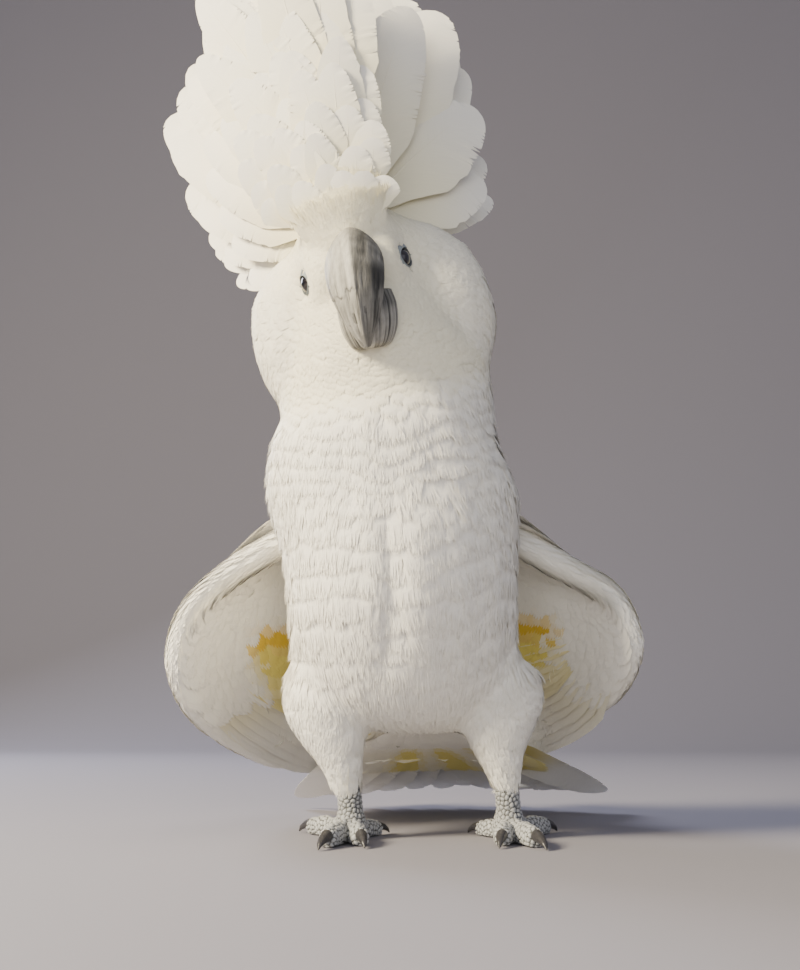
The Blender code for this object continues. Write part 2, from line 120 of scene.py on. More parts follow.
def flow(knots: Array | tuple, t: Array) -> Array:
    """A smooth curve through knots.

    Args:
        knots: Rows of numbers, evenly spaced along the curve.
        t: Shares of the way along, from 0 to 1.

    Returns:
        One interpolated row for each t.
    """
    knots = np.asarray(knots, float)
    place = np.clip(t, 0.0, 1.0) * (len(knots) - 1)
    low = np.minimum(place.astype(int), len(knots) - 2)
    f = (place - low)[..., None]
    held = np.vstack([2 * knots[0] - knots[1], knots, 2 * knots[-1] - knots[-2]])
    a, b, c, d = (held[low + k] for k in range(4))
    return 0.5 * (2 * b + (c - a) * f + (2 * a - 5 * b + 4 * c - d) * f**2 + (3 * b - 3 * c + d - a) * f**3)


def turned(axis: str, degrees: float) -> Array:
    """Rotation matrix about one axis."""
    return np.array(Matrix.Rotation(math.radians(degrees), 3, axis))


def linear(colour: str) -> Array:
    """sRGB hex to linear red, green and blue."""
    values = np.array([int(colour[k : k + 2], 16) / 255.0 for k in (1, 3, 5)])
    return np.where(values <= 0.04045, values / 12.92, ((values + 0.055) / 1.055) ** 2.4)


def mixed(a: Array, b: Array, share: Array) -> Array:
    """Colours between a and b, one for each share."""
    share = np.asarray(share)[..., None]
    return a * (1.0 - share) + b * share


# ---- colours
class Tone(Enum):
    """Colours of the bird, and the painted shade of some of its parts."""

    WHITE = "#F5F2E8"
    CREAM = "#F4EED0"
    # painted shade for the roots of large feathers and for the edges that the next feather covers
    ROOT = "#DAD3C4"
    LEMON = "#EBDB74"
    GOLD = "#E2BD3C"
    SHAFT = "#F3EBD2"
    SKIN = "#E8E1D2"
    CHALK = "#BDBAB0"
    SLATE = "#55544F"
    # dark of cracks and deep grooves in the horn, also used as painted shadow in the gape and along the
    # bill's base
    CRACK = "#2A2925"
    SCALE = "#AFB1B2"
    GROOVE = "#3A3A38"
    CLAW = "#38373A"
    RING = "#929B9F"
    LID = "#5E6466"
    IRIS = "#17110D"
    PUPIL = "#060505"

    @property
    def rgb(self) -> Array:
        """Linear colour."""
        return linear(self.value)


# ---- meshes
@dataclass
class Shape:
    """A mesh as plain arrays: points in working millimetres, triangles or quads, one tint a point."""

    points: Array
    faces: Array
    tints: Array
    vane: Array | None = None
    bake: Array | None = None

    @property
    def triangles(self) -> int:
        """Triangles once every quad is split."""
        return len(self.faces) * (self.faces.shape[1] - 2)


def joined(shapes: list[Shape]) -> Shape:
    """Join several shapes.

    Args:
        shapes: Shapes with faces of one kind.

    Returns:
        One shape.
    """
    starts = np.cumsum([0] + [len(s.points) for s in shapes[:-1]])
    return Shape(
        np.concatenate([s.points for s in shapes]),
        np.concatenate([s.faces + start for s, start in zip(shapes, starts)]),
        np.concatenate([s.tints for s in shapes]),
        np.concatenate([s.vane for s in shapes]) if shapes[0].vane is not None else None,
        np.concatenate([s.bake for s in shapes]) if shapes[0].bake is not None else None,
    )


def mesh_object(name: str, shape: Shape, material: bpy.types.Material) -> bpy.types.Object:
    """Write a shape as a smooth mesh object in the model's frame.

    Args:
        name: Name of the piece.
        shape: Points, faces, tints and maps.
        material: Its finish.

    Returns:
        The linked object.
    """
    mesh = bpy.data.meshes.new(name)
    corners = shape.faces.shape[1]
    mesh.vertices.add(len(shape.points))
    mesh.vertices.foreach_set("co", metres(shape.points).astype(np.float32).ravel())
    mesh.loops.add(shape.faces.size)
    mesh.loops.foreach_set("vertex_index", shape.faces.astype(np.int32).ravel())
    mesh.polygons.add(len(shape.faces))
    mesh.polygons.foreach_set("loop_start", np.arange(0, shape.faces.size, corners, dtype=np.int32))
    mesh.polygons.foreach_set("use_smooth", np.ones(len(shape.faces), bool))
    mesh.update(calc_edges=True)
    tints = np.ones((len(shape.points), 4), np.float32)
    tints[:, :3] = shape.tints
    mesh.color_attributes.new(TINT, "FLOAT_COLOR", "POINT").data.foreach_set("color", tints.ravel())
    for title, values in ((BAKE_MAP, shape.bake), (VANE_MAP, shape.vane)):
        if values is not None:
            layer = mesh.uv_layers.new(name=title)
            at_corners = values if len(values) == shape.faces.size else values[shape.faces.ravel()]
            layer.data.foreach_set("uv", at_corners.astype(np.float32).ravel())
    mesh.materials.append(material)
    mesh.validate()
    thing = bpy.data.objects.new(name, mesh)
    bpy.context.scene.collection.objects.link(thing)
    return thing


def arrays_of(mesh: bpy.types.Mesh) -> tuple[Array, Array]:
    """Read a mesh.

    Args:
        mesh: The mesh, in metres.

    Returns:
        Its points in working millimetres and its triangles.
    """
    points = np.empty(len(mesh.vertices) * 3, np.float32)
    mesh.vertices.foreach_get("co", points)
    mesh.calc_loop_triangles()
    triangles = np.empty(len(mesh.loop_triangles) * 3, np.int32)
    mesh.loop_triangles.foreach_get("vertices", triangles)
    return points.reshape(-1, 3).astype(float) / MM + MIDDLE, triangles.reshape(-1, 3)


def grid_faces(rows: int, columns: int, wrap: bool = False, loop: bool = False) -> Array:
    """Find the quads of a grid of points.

    Args:
        rows: Rows of points.
        columns: Points in a row.
        wrap: Whether each row is a closed ring.
        loop: Whether the last row joins the first.

    Returns:
        Four indices for each quad.
    """
    across, down = columns - (not wrap), rows - (not loop)
    row, column = np.meshgrid(np.arange(down), np.arange(across), indexing="ij")
    after, below = (column + 1) % columns, (row + 1) % rows
    here, under = row * columns, below * columns
    return np.stack((here + column, here + after, under + after, under + column), -1).reshape(-1, 4)


def split_quads(quads: Array) -> Array:
    """Two triangles for each quad."""
    return quads[:, [0, 1, 2, 0, 2, 3]].reshape(-1, 3)


def capped(values: Array) -> Array:
    """Values on rings of points as one list, with the means of the two end rings before and after."""
    width = values.shape[-1]
    return np.concatenate((values[0].mean(0)[None], values.reshape(-1, width), values[-1].mean(0)[None]))


def tube(rings: Array) -> tuple[Array, Array]:
    """Join rings of points in a row, each end closed to its middle.

    Args:
        rings: Places by ring and by turn.

    Returns:
        Points and triangles.
    """
    rows, columns = rings.shape[:2]
    around = np.arange(columns)
    after, last = (around + 1) % columns, 1 + (rows - 1) * columns
    faces = np.concatenate((
        split_quads(grid_faces(rows, columns, wrap=True)) + 1,
        np.stack((0 * around, 1 + after, 1 + around), -1),
        np.stack((0 * around + rows * columns + 1, last + around, last + after), -1),
    ))
    return capped(rings), faces


def adopt(thing: bpy.types.Object, slot: str, nodes: tuple[str, ...] = ()) -> bpy.types.Object:
    """Let a finished piece ride with the model.

    Args:
        thing: The piece.
        slot: Name of its material slot, which is only written to the log.
        nodes: The solids it stands for.

    Returns:
        The piece.
    """
    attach(thing, "root")
    if nodes:
        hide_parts(*nodes)
    LOG.info("%s: %d faces, slot %s", thing.name, len(thing.data.polygons), slot)
    return thing


# ---- materials
class Shader:
    """Builds one Principled material."""

    def __init__(self, name: str, **values: float) -> None:
        """Start a material.

        Args:
            name: Its name.
            values: Values of the shader's own sockets.
        """
        self.material = bpy.data.materials.new(name)
        self.material.use_nodes = True
        self.tree = self.material.node_tree
        self.body = self.tree.nodes["Principled BSDF"]
        for key, value in values.items():
            socket = key.replace("_", " ").title().replace("Ior", "IOR")
            self.body.inputs[socket].default_value = value

    def add(self, kind: str, links: dict | None = None, values: dict | None = None,
            **settings: str) -> bpy.types.NodeOutputs:
        """Add a node.

        Args:
            kind: Type of the node.
            links: Sources of its inputs, by socket.
            values: Values of its inputs, by socket.
            settings: Properties of the node.

        Returns:
            The node's outputs.
        """
        node = self.tree.nodes.new(kind)
        for key, value in settings.items():
            setattr(node, key, value)
        for key, value in (values or {}).items():
            node.inputs[key].default_value = value
        for key, source in (links or {}).items():
            self.tree.links.new(source, node.inputs[key])
        return node.outputs

    def mottled(self, colour: bpy.types.NodeSocket, factor: bpy.types.NodeSocket,
                low: float) -> bpy.types.NodeSocket:
        """Darken a colour in spots.

        Args:
            colour: The colour.
            factor: Noise from 0 to 1.
            low: What is left of the colour where the noise is low.

        Returns:
            The mottled colour.
        """
        limits = {"From Min": 0.3, "From Max": 0.7, "To Min": low}
        shade = self.add("ShaderNodeMapRange", {"Value": factor}, limits)
        return self.add("ShaderNodeMix", {6: colour, 7: shade["Result"]}, {0: 1.0},
                        data_type="RGBA", blend_type="MULTIPLY")[2]

    def finish(self, colour: bpy.types.NodeSocket, height: bpy.types.NodeSocket | None = None,
               depth: float = 0.0001) -> bpy.types.Material:
        """Link the colour and the relief.

        Args:
            colour: The base colour.
            height: The relief, 0 to 1.
            depth: Its depth, metres.

        Returns:
            The material.
        """
        self.tree.links.new(colour, self.body.inputs["Base Color"])
        if height is not None:
            bump = self.add("ShaderNodeBump", {"Height": height}, {"Strength": 1.0, "Distance": depth})
            self.tree.links.new(bump["Normal"], self.body.inputs["Normal"])
        return self.material


@dataclass(frozen=True)
class Plumage:
    """Feather keratin, matt with a faint sheen: fine barbs slant away from the shaft."""

    name: str
    barb_spacing: float  # mm, about twice the real one so that it shows
    slant: float  # how far a barb runs along the feather for each mm across it
    relief: float  # metres
    streak: float  # how dark the darkest streak is

    def build(self) -> bpy.types.Material:
        """Make the material."""
        shader = Shader(self.name, roughness=0.62, sheen_weight=0.12, sheen_roughness=0.45,
                        specular_ior_level=0.28)
        place = shader.add("ShaderNodeUVMap", uv_map=VANE_MAP)["UV"]
        x, y, _ = shader.add("ShaderNodeSeparateXYZ", {"Vector": place})
        away = shader.add("ShaderNodeMath", {0: x}, operation="ABSOLUTE")[0]
        drop = shader.add("ShaderNodeMath", {0: away}, {1: self.slant}, operation="MULTIPLY")[0]
        barb = shader.add("ShaderNodeMath", {0: y, 1: drop}, operation="SUBTRACT")[0]
        lines = shader.add("ShaderNodeCombineXYZ", {"X": barb, "Y": away})["Vector"]
        colour, streaks = shader.add("ShaderNodeVertexColor", layer_name=TINT)["Color"], []
        for stretch, detail, low in (((1 / self.barb_spacing, 0.12, 1.0), 2.0, self.streak),
                                     ((0.35, 0.05, 1.0), 3.0, 0.5 + self.streak / 2)):
            drawn = shader.add("ShaderNodeMapping", {"Vector": lines}, {"Scale": stretch})["Vector"]
            values = {"Scale": 1.0, "Detail": detail}
            streaks.append(shader.add("ShaderNodeTexNoise", {"Vector": drawn}, values)["Fac"])
            colour = shader.mottled(colour, streaks[-1], low)
        return shader.finish(colour, streaks[0], self.relief)


@dataclass(frozen=True)
class Grained:
    """A painted surface with a fine grain: skin, horn or scales."""

    name: str
    roughness: float
    specular: float
    grain: float  # grains in a metre
    detail: float
    low: float  # how dark the darkest grain is
    relief: float  # metres
    stretch: tuple[float, float, float] = (1.0, 1.0, 1.0)
    powder: tuple[float, float, float] | None = None  # grain, detail and darkness of a coarser mottle

    def build(self) -> bpy.types.Material:
        """Make the material."""
        shader = Shader(self.name, roughness=self.roughness, specular_ior_level=self.specular)
        place = shader.add("ShaderNodeTexCoord")["Object"]
        drawn = shader.add("ShaderNodeMapping", {"Vector": place}, {"Scale": self.stretch})["Vector"]
        values = {"Scale": self.grain, "Detail": self.detail}
        grain = shader.add("ShaderNodeTexNoise", {"Vector": drawn}, values)["Fac"]
        colour = shader.add("ShaderNodeVertexColor", layer_name=TINT)["Color"]
        colour = shader.mottled(colour, grain, self.low)
        if self.powder:
            values = dict(zip(("Scale", "Detail"), self.powder))
            dust = shader.add("ShaderNodeTexNoise", {"Vector": place}, values)["Fac"]
            colour = shader.mottled(colour, dust, self.powder[2])
        return shader.finish(colour, grain, self.relief)


# Living skin under the coat: dull, with stubble of down 1.5 mm apart.
SKIN = Grained("feathered skin", 0.85, 0.2, 650.0, 3.0, 0.82, 0.0004)
# Bill keratin: dark satin horn under chalky powder, with fibres lengthwise.
HORN = Grained("bill horn", 0.56, 0.35, 1400.0, 4.0, 0.80, 0.00018, (1.0, 0.35, 0.22), (420.0, 5.0, 0.85))
# Claw keratin: black horn, lightly worn and a little glossy.
CLAWS = Grained("claw horn", 0.38, 0.5, 900.0, 4.0, 0.7, 0.0001)
# Scaled skin: dry and grey, with a grain of 0.4 mm.
SCALES = Grained("foot scales", 0.66, 0.3, 2600.0, 3.0, 0.86, 0.00012)
# Bare blue-grey skin round the eye, finely wrinkled.
LIDS = Grained("bare eye skin", 0.6, 0.4, 2200.0, 3.0, 0.85, 0.0002)


@dataclass(frozen=True)
class WetEye:
    """Dark iris under a clear wet cornea, which gives a small sharp highlight."""

    roughness: float = 0.12
    wetness: float = 0.6

    def build(self) -> bpy.types.Material:
        """Make the material."""
        shader = Shader("eye", roughness=self.roughness, specular_ior_level=0.6,
                        coat_weight=self.wetness, coat_roughness=0.03)
        return shader.finish(shader.add("ShaderNodeVertexColor", layer_name=TINT)["Color"])


# ---- the head's own space
HEAD_CENTRE = np.array((-17.0, -48.0, 257.0))
HEAD_TURN = turned("Z", -6.0) @ turned("Y", -14.0) @ turned("X", 15.0)


def in_head(points: Array) -> Array:
    """Points or rows of points from the head's own space to working space."""
    return np.asarray(points, float) @ HEAD_TURN.T + HEAD_CENTRE


def head_local(points: Array) -> Array:
    """Points from working space to the head's own space."""
    return (points - HEAD_CENTRE) @ HEAD_TURN


# ---- the wing's surface
@dataclass(frozen=True)
class Wing:
    """A half-opened, drooping wing as a bowed sheet between its leading and trailing lines."""

    side: float
    leading: tuple
    trailing: tuple
    swell: float = 14.0

    @property
    def outward(self) -> Array:
        """Rough direction of the wing's upper face."""
        return unit(np.array((self.side * 0.62, 0.55, 0.56)))

    def surface(self, u: Array, v: Array) -> Array:
        """Find points of the sheet.

        Args:
            u: Shares of the way from the shoulder to the tip.
            v: Shares of the way from the leading to the trailing line.

        Returns:
            Working places.
        """
        u, v = np.broadcast_arrays(np.asarray(u, float), np.asarray(v, float))
        front, back = flow(self.leading, u), flow(self.trailing, u)
        fullness = 0.1 + 0.9 * np.sin(math.pi * np.minimum(u + 0.12, 1.0))
        swell = self.swell * 4.0 * v * (1.0 - v) * fullness
        return front + (back - front) * v[..., None] + self.outward * swell[..., None]

    def normal(self, u: Array, v: Array) -> Array:
        """Find the sheet's upper side.

        Args:
            u: Shares of the way from the shoulder to the tip.
            v: Shares of the way across.

        Returns:
            Unit normals.
        """
        step = 0.02
        along = self.surface(np.minimum(u + step, 1.0), v) - self.surface(np.maximum(u - step, 0.0), v)
        across = self.surface(u, np.minimum(v + step, 1.0)) - self.surface(u, np.maximum(v - step, 0.0))
        normals = unit(np.cross(along, across))
        facing = np.sign((normals * self.outward).sum(-1, keepdims=True))
        return normals * np.where(facing == 0, 1, facing)

    def nearest(self, points: Array) -> tuple[Array, Array]:
        """Find where on the sheet places lie.

        Args:
            points: Working places.

        Returns:
            The u and v of the sheet's nearest points.
        """
        u, v = np.meshgrid(np.linspace(0, 1, 60), np.linspace(0, 1, 40), indexing="ij")
        cloud = self.surface(u, v).reshape(-1, 3)
        tree = KDTree(len(cloud))
        for index, point in enumerate(cloud):
            tree.insert(point, index)
        tree.balance()
        found = np.array([tree.find(p)[1] for p in points], int)
        return u.ravel()[found], v.ravel()[found]


WINGS = {
    "left": Wing(
        -1.0,
        ((-56, 6, 148), (-84, 0, 130), (-103, -8, 112), (-111, -12, 94), (-112, -6, 76),
         (-106, 18, 57), (-92, 62, 42), (-73, 110, 31), (-54, 156, 27), (-38, 194, 24)),
        ((-32, 36, 157), (-26, 52, 146), (-22, 66, 128), (-19, 80, 112), (-17, 96, 96),
         (-16, 116, 79), (-16, 138, 63), (-18, 162, 48), (-22, 184, 39), (-30, 202, 30)),
    ),
    "right": Wing(
        1.0,
        ((56, 6, 148), (84, 0, 131), (106, -8, 117), (115, -12, 100), (117, -6, 84),
         (112, 18, 68), (100, 62, 56), (84, 110, 47), (68, 154, 40), (54, 190, 34)),
        ((32, 36, 157), (26, 52, 146), (22, 66, 131), (20, 80, 116), (19, 96, 101),
         (20, 116, 86), (24, 138, 72), (30, 160, 60), (37, 180, 50), (46, 197, 40)),
    ),
}

TAIL_ROOT = np.array((12.0, 64.0, 58.0))
TAIL_LENGTH = 148.0
TAIL_LEFT, TAIL_RIGHT, TAIL_SLOPE = -30.0, 50.0, 21.0
TAIL_WIDTH = 34.0


def tail_point(u: Array, v: Array) -> Array:
    """Find points of the tail's fan.

    Args:
        u: Shares of the way from left to right.
        v: Shares of the way from root to tip.

    Returns:
        Working places.
    """
    angle = np.radians(TAIL_LEFT + (TAIL_RIGHT - TAIL_LEFT) * u)
    slope, reach = math.radians(TAIL_SLOPE), TAIL_LENGTH * v
    x = TAIL_WIDTH * (u - 0.5) + reach * np.sin(angle) * math.cos(slope)
    y = reach * np.cos(angle) * math.cos(slope)
    z = 5.0 * np.sin(math.pi * u) * v - reach * math.sin(slope) * (0.55 + 0.45 * np.cos(angle))
    return TAIL_ROOT + np.stack((x, y, z), -1)


# ---- skin
@dataclass(frozen=True)
class Lie:
    """How the small feathers of one region grow, in mm."""

    nodes: tuple[str, ...]
    depth: float  # from the skin to the tips
    length: float
    width: float
    spacing: float
    lift: float  # how far the tips stand out at random
    row: float  # distance between the rows that the tips fall into
    order: float  # how strictly they fall into rows, 0 to 1
    arch: float  # how high the middle lies for each mm the tip does


def pair(*stems: str) -> tuple[str, ...]:
    """Names of a left and a right node for each stem, where * is the side."""
    return tuple(stem.replace("*", side) for stem in stems for side in SIDES)


LIES = {
    "face": Lie(("head", "crest_brow"), 1.3, 9.0, 5.2, 2.3, 0.02, 9.0, 0.0, 0.85),
    "cheek": Lie(pair("cheek_*"), 1.7, 14.0, 7.0, 3.0, 0.03, 16.0, 0.0, 0.85),
    "neck": Lie(("neck",), 3.4, 17.0, 7.6, 3.4, 0.10, 7.5, 0.80, 0.56),
    "trunk": Lie(("trunk",), 4.2, 20.0, 7.6, 3.6, 0.14, 12.0, 0.66, 0.56),
    "thigh": Lie(pair("thigh_*"), 2.0, 13.0, 6.5, 3.1, 0.08, 10.0, 0.25, 0.80),
    "tail": Lie(("tail_coverts",), 2.0, 26.0, 12.0, 5.4, 0.10, 14.0, 0.0, 0.8),
    "wing": Lie(pair("wing_*_arm_coverts", "wing_*_hand_coverts"), 1.6, 12.0, 8.0, 3.4, 0.05, 9.0, 0.0, 0.85),
}
FLESH = tuple(node for lie in LIES.values() for node in lie.nodes)
BILL_BASE = np.array((0.0, -40.0, -2.0))  # in the head's space
EYE_PLACE = np.array((19.6, -21.8, 10.6))
EYE_RADIUS = 6.3
EYE_LOOK = unit(np.array((1.0, -0.42, 0.06)))
BARE_RING = 6.1
CLEFT_X = -6.0  # where the breast parts


def node_arrays(nodes: dict, names: tuple[str, ...], grow: float = 0.0) -> tuple[Array, Array]:
    """Read merged copies of some solids.

    Args:
        nodes: The model's solids by name.
        names: The ones to read.
        grow: How far each is grown outwards, mm.

    Returns:
        Points in working millimetres, and triangles.
    """
    points, faces, start = [], [], 0
    for name in names:
        solid = bmesh.new()
        solid.from_mesh(nodes[name].data)
        bmesh.ops.remove_doubles(solid, verts=solid.verts, dist=1e-6)
        bmesh.ops.triangulate(solid, faces=solid.faces)
        solid.normal_update()
        points.append([tuple(v.co + v.normal * grow * MM) for v in solid.verts])
        faces.append(np.array([[v.index for v in f.verts] for f in solid.faces]) + start)
        start += len(solid.verts)
        solid.free()
    return np.concatenate(points) / MM + MIDDLE, np.concatenate(faces)


def remeshed(points: Array, faces: Array, voxel: float) -> tuple[Array, Array]:
    """Wrap everything in one closed even mesh.

    Args:
        points: Working places.
        faces: Triangles of closed bodies.
        voxel: Size of its grid, mm.

    Returns:
        Points and triangles of the wrap.
    """
    mesh = bpy.data.meshes.new("rough")
    mesh.from_pydata(metres(points).tolist(), [], faces.tolist())
    rough = bpy.data.objects.new("rough", mesh)
    bpy.context.scene.collection.objects.link(rough)
    change = rough.modifiers.new("even", "REMESH")
    change.mode, change.voxel_size = "VOXEL", voxel * MM
    even = bpy.data.meshes.new_from_object(rough.evaluated_get(bpy.context.evaluated_depsgraph_get()))
    found = arrays_of(even)
    bpy.data.objects.remove(rough)
    bpy.data.meshes.remove(mesh)
    bpy.data.meshes.remove(even)
    return found


def edges_of(faces: Array) -> Array:
    """Each edge of some triangles once."""
    pairs = np.sort(np.concatenate((faces[:, :2], faces[:, 1:], faces[:, ::2])), axis=1)
    return np.unique(pairs, axis=0)


def relaxed(values: Array, edges: Array, rounds: int, share: float = 0.5) -> Array:
    """Even out values at the points of a mesh.

    Args:
        values: One value or row for each point.
        edges: Pairs of neighbours.
        rounds: How often each is drawn towards its neighbours' average.
        share: How far it is drawn each time.

    Returns:
        The evened values.
    """
    values = np.array(values, float)
    flat = values.ndim == 1
    values = values[:, None] if flat else values
    a, b = edges.T
    count = np.bincount(edges.ravel(), minlength=len(values))[:, None]
    for _ in range(rounds):
        total = np.stack([
            np.bincount(a, column[b], len(values)) + np.bincount(b, column[a], len(values))
            for column in values.T
        ], 1)
        values += share * (total / np.maximum(count, 1) - values)
    return values[:, 0] if flat else values


def point_normals(points: Array, faces: Array) -> Array:
    """Unit normals at the points of a closed mesh.

    Args:
        points: Places.
        faces: Triangles that point outwards.

    Returns:
        One normal for each point.
    """
    a, b, c = (points[faces[:, k]] for k in range(3))
    face = np.cross(b - a, c - a)
    total = np.stack([
        sum(np.bincount(faces[:, k], face[:, axis], len(points)) for k in range(3)) for axis in range(3)
    ], 1)
    return unit(total)


def from_eye(local: Array, side: float) -> tuple[Array, Array]:
    """Measure places from an eye.

    Args:
        local: Places in the head's space.
        side: Minus one for the left eye, one for the right.

    Returns:
        How far they lie off the line of sight, as vectors, and along it.
    """
    offset = local - EYE_PLACE * (side, 1, 1)
    look = EYE_LOOK * (side, 1, 1)
    along = offset @ look
    return offset - along[:, None] * look, along


def row_of(places: Array, step: Array) -> Array:
    """How many rows up places on the body lie.

    The rows sag like a smile on each side of the furrow, rise to the bird's left and wander.
    """
    x, y, z = places.T
    off = x - CLEFT_X
    sway = 0.0052 * np.where(off > 0, off**2, 0.45 * off**2) + 2.4 * np.sin(x / 13.0 + z / 29.0)
    sway += 1.7 * np.sin(x / 6.1 - z / 15.0 + y / 9.0) - 1.5 * np.exp(-((off / 7.0) ** 2))
    return (z - sway) / step


@dataclass
class Skin:
    """One closed skin under the coat, with how the coat grows at every point of it."""

    nodes: dict
    voxel: float = 2.3  # mm
    swell: float = 0.35  # how far the solids are grown so that they merge, mm

    def __post_init__(self) -> None:
        """Wrap the flesh, sink the skin by the coat's depth and work out how the coat lies."""
        points, faces = remeshed(*node_arrays(self.nodes, FLESH, self.swell), self.voxel)
        self.faces, self.edges = faces, edges_of(faces)
        points = relaxed(points, self.edges, 7)
        height = head_local(points)[:, 2]
        seam = band(10.0, 20.0, 32.0, 44.0, height) + band(-62.0, -48.0, -40.0, -28.0, height)
        points += (relaxed(points, self.edges, 40) - points) * seam[:, None]
        region = self.regions(points)
        weights = relaxed(np.eye(len(LIES))[region], self.edges, 9)
        self.weights = dict(zip(LIES, weights.T))
        self.names = np.array(list(LIES), dtype="<U8")[region]
        normals = point_normals(points, faces)
        self.points = points - normals * (self.blend("depth") + self.furrows(points))[:, None]
        self.points = relaxed(self.points, self.edges, 3)
        self.raise_sockets()
        self.normals = point_normals(self.points, faces)
        self.brow = smooth_step(26.0, 44.0, head_local(self.points)[:, 2]) * self.weights["face"]
        self.lie = self.lie_of_coat()
        self.tree = BVHTree.FromPolygons(self.points.tolist(), faces.tolist())
        LOG.info("skin: %d points, %d triangles", len(points), len(faces))

    def raise_sockets(self) -> None:
        """Bring the skin up to the lids round each eye."""
        for side in SIDES.values():
            off, along = from_eye(head_local(self.points), side)
            near = (1.0 - smooth_step(7.5, 18.0, np.linalg.norm(off, axis=1))) * (along > -8)
            look = (EYE_LOOK * (side, 1, 1)) @ HEAD_TURN.T
            self.points = self.points + (np.maximum(3.7 - along, 0.0) * near)[:, None] * look

    @staticmethod
    def furrows(points: Array) -> Array:
        """Furrow the middle of the breast and fold the bent neck.

        Args:
            points: Working places.

        Returns:
            Depths, mm.
        """
        x, y, z = points.T
        reach = band(66.0, 96.0, 132.0, 156.0, z) * (y < 0)
        cleft = 3.2 * np.exp(-(((x - CLEFT_X - 2.0 * np.sin(z / 14.0)) / 5.5) ** 2)) * reach
        bent = band(146.0, 160.0, 190.0, 206.0, z) * smooth_step(-22.0, 12.0, x)
        folds = 0.5 - 0.5 * np.cos(2 * math.pi * row_of(points, np.full(len(x), 9.0)))
        return cleft + 1.7 * folds * bent * (y < 10)

    def regions(self, points: Array) -> Array:
        """Find each point's region.

        Args:
            points: Working places.

        Returns:
            Index of the nearest region.
        """
        gaps = []
        for lie in LIES.values():
            solid, triangles = node_arrays(self.nodes, lie.nodes)
            tree = BVHTree.FromPolygons(solid.tolist(), triangles.tolist())
            gaps.append([tree.find_nearest(Vector(p))[3] for p in points])
        return np.argmin(gaps, axis=0)

    def blend(self, value: str) -> Array:
        """A number of the regions' lies, blended at every point."""
        return sum(w * getattr(LIES[name], value) for name, w in self.weights.items())

    def lie_of_coat(self) -> Array:
        """Unit direction in which the feathers point at every point of the skin."""
        points, local = self.points, head_local(self.points)
        down = np.zeros_like(points) + (0.0, 0.10, -1.0)
        down[:, 0] += 0.14 * np.tanh((points[:, 0] - CLEFT_X) / 14.0) * (points[:, 1] < 0)
        away = unit(local - BILL_BASE) @ HEAD_TURN.T
        reach = np.linalg.norm((local - BILL_BASE) * (1.0, 0.8, 1.0), axis=1)
        upper = smooth_step(-8.0, 22.0, local[:, 2])
        facial = np.clip(1.25 - reach / 62.0 + 0.8 * upper, 0.0, 1.0)[:, None]
        rising = np.stack((local[:, 0] / 42.0, 0.25 + 0 * upper, 1.0 + 0 * upper), 1)
        crown = (rising @ HEAD_TURN.T) * upper[:, None]
        head = away * facial + crown * 0.9 + down * (1.0 - facial) * (1.0 - 0.8 * upper[:, None])
        behind = smooth_step(10.0, 30.0, local[:, 1])[:, None]
        head = head * (1.0 - behind) + down * behind
        for side in SIDES.values():
            off, along = from_eye(local, side)
            near = np.exp(-((np.linalg.norm(off, axis=1) / 10.0) ** 2)) * (along > -6)
            head += 2.2 * near[:, None] * unit(off) @ HEAD_TURN.T
        share = (self.weights["face"] + self.weights["cheek"])[:, None]
        field = head * share + down * (1.0 - share)
        tail = np.array((0.0, 0.93, -0.36))
        field += 4.0 * tail * self.weights["tail"][:, None]
        for wing in WINGS.values():
            near = self.weights["wing"] * (points[:, 0] * wing.side > 0) > 0.02
            u, v = wing.nearest(points[near])
            ahead = wing.surface(np.minimum(u + 0.10, 1.0), np.minimum(v + 0.30, 1.0)) - wing.surface(u, v)
            field[near] += 5.0 * unit(ahead) * self.weights["wing"][near, None]
        for _ in range(3):
            field -= self.normals * (field * self.normals).sum(1, keepdims=True)
            field = relaxed(unit(field), self.edges, 4)
        return unit(field - self.normals * (field * self.normals).sum(1, keepdims=True))

    def unwrap(self, thing: bpy.types.Object) -> None:
        """Lay the skin's bake map out by its own shape.

        Args:
            thing: The skin's object.
        """
        bpy.context.view_layer.objects.active = thing
        thing.data.uv_layers.new(name=BAKE_MAP)
        thing.select_set(True)
        bpy.ops.object.mode_set(mode="EDIT")
        bpy.ops.mesh.select_all(action="SELECT")
        bpy.ops.uv.smart_project(angle_limit=math.radians(70), island_margin=0.004)
        bpy.ops.object.mode_set(mode="OBJECT")
        thing.select_set(False)
        flat = np.empty(len(thing.data.loops) * 2, np.float32)
        thing.data.uv_layers[BAKE_MAP].data.foreach_get("uv", flat)
        self.corners = flat.reshape(-1, 3, 2)

    def build(self) -> bpy.types.Object:
        """Make the skin's object and its bake map."""
        tints = Markings.at(self.points, self.weights) * Tone.SKIN.rgb / Tone.WHITE.rgb
        shape = Shape(self.points, self.faces, np.clip(tints, 0, 1))
        thing = mesh_object("skin", shape, SKIN.build())
        self.unwrap(thing)
        return adopt(thing, "down", FLESH)


class Markings:
    """Colours of skin and small feathers."""

    @staticmethod
    def at(points: Array, weights: dict[str, Array]) -> Array:
        """Colour places: white, creamy on the head, lemon in the armpits.

        Args:
            points: Working places.
            weights: How much each belongs to each region.

        Returns:
            Linear colours.
        """
        local = head_local(points)
        cream = weights["face"] * 0.75 + weights["cheek"] * 0.35
        cream = cream + smooth_step(20, 44, local[:, 2]) * weights["face"]
        colours = mixed(Tone.WHITE.rgb, Tone.CREAM.rgb, np.clip(cream, 0, 1))
        lemon = np.zeros(len(points))
        for wing in WINGS.values():
            centre = np.array((wing.side * 56.0, 34.0, 98.0))
            lemon += np.exp(-(((points - centre) / (20.0, 26.0, 14.0)) ** 2).sum(1)) * weights["wing"]
        return mixed(colours, Tone.LEMON.rgb, np.clip(lemon, 0, 0.8))


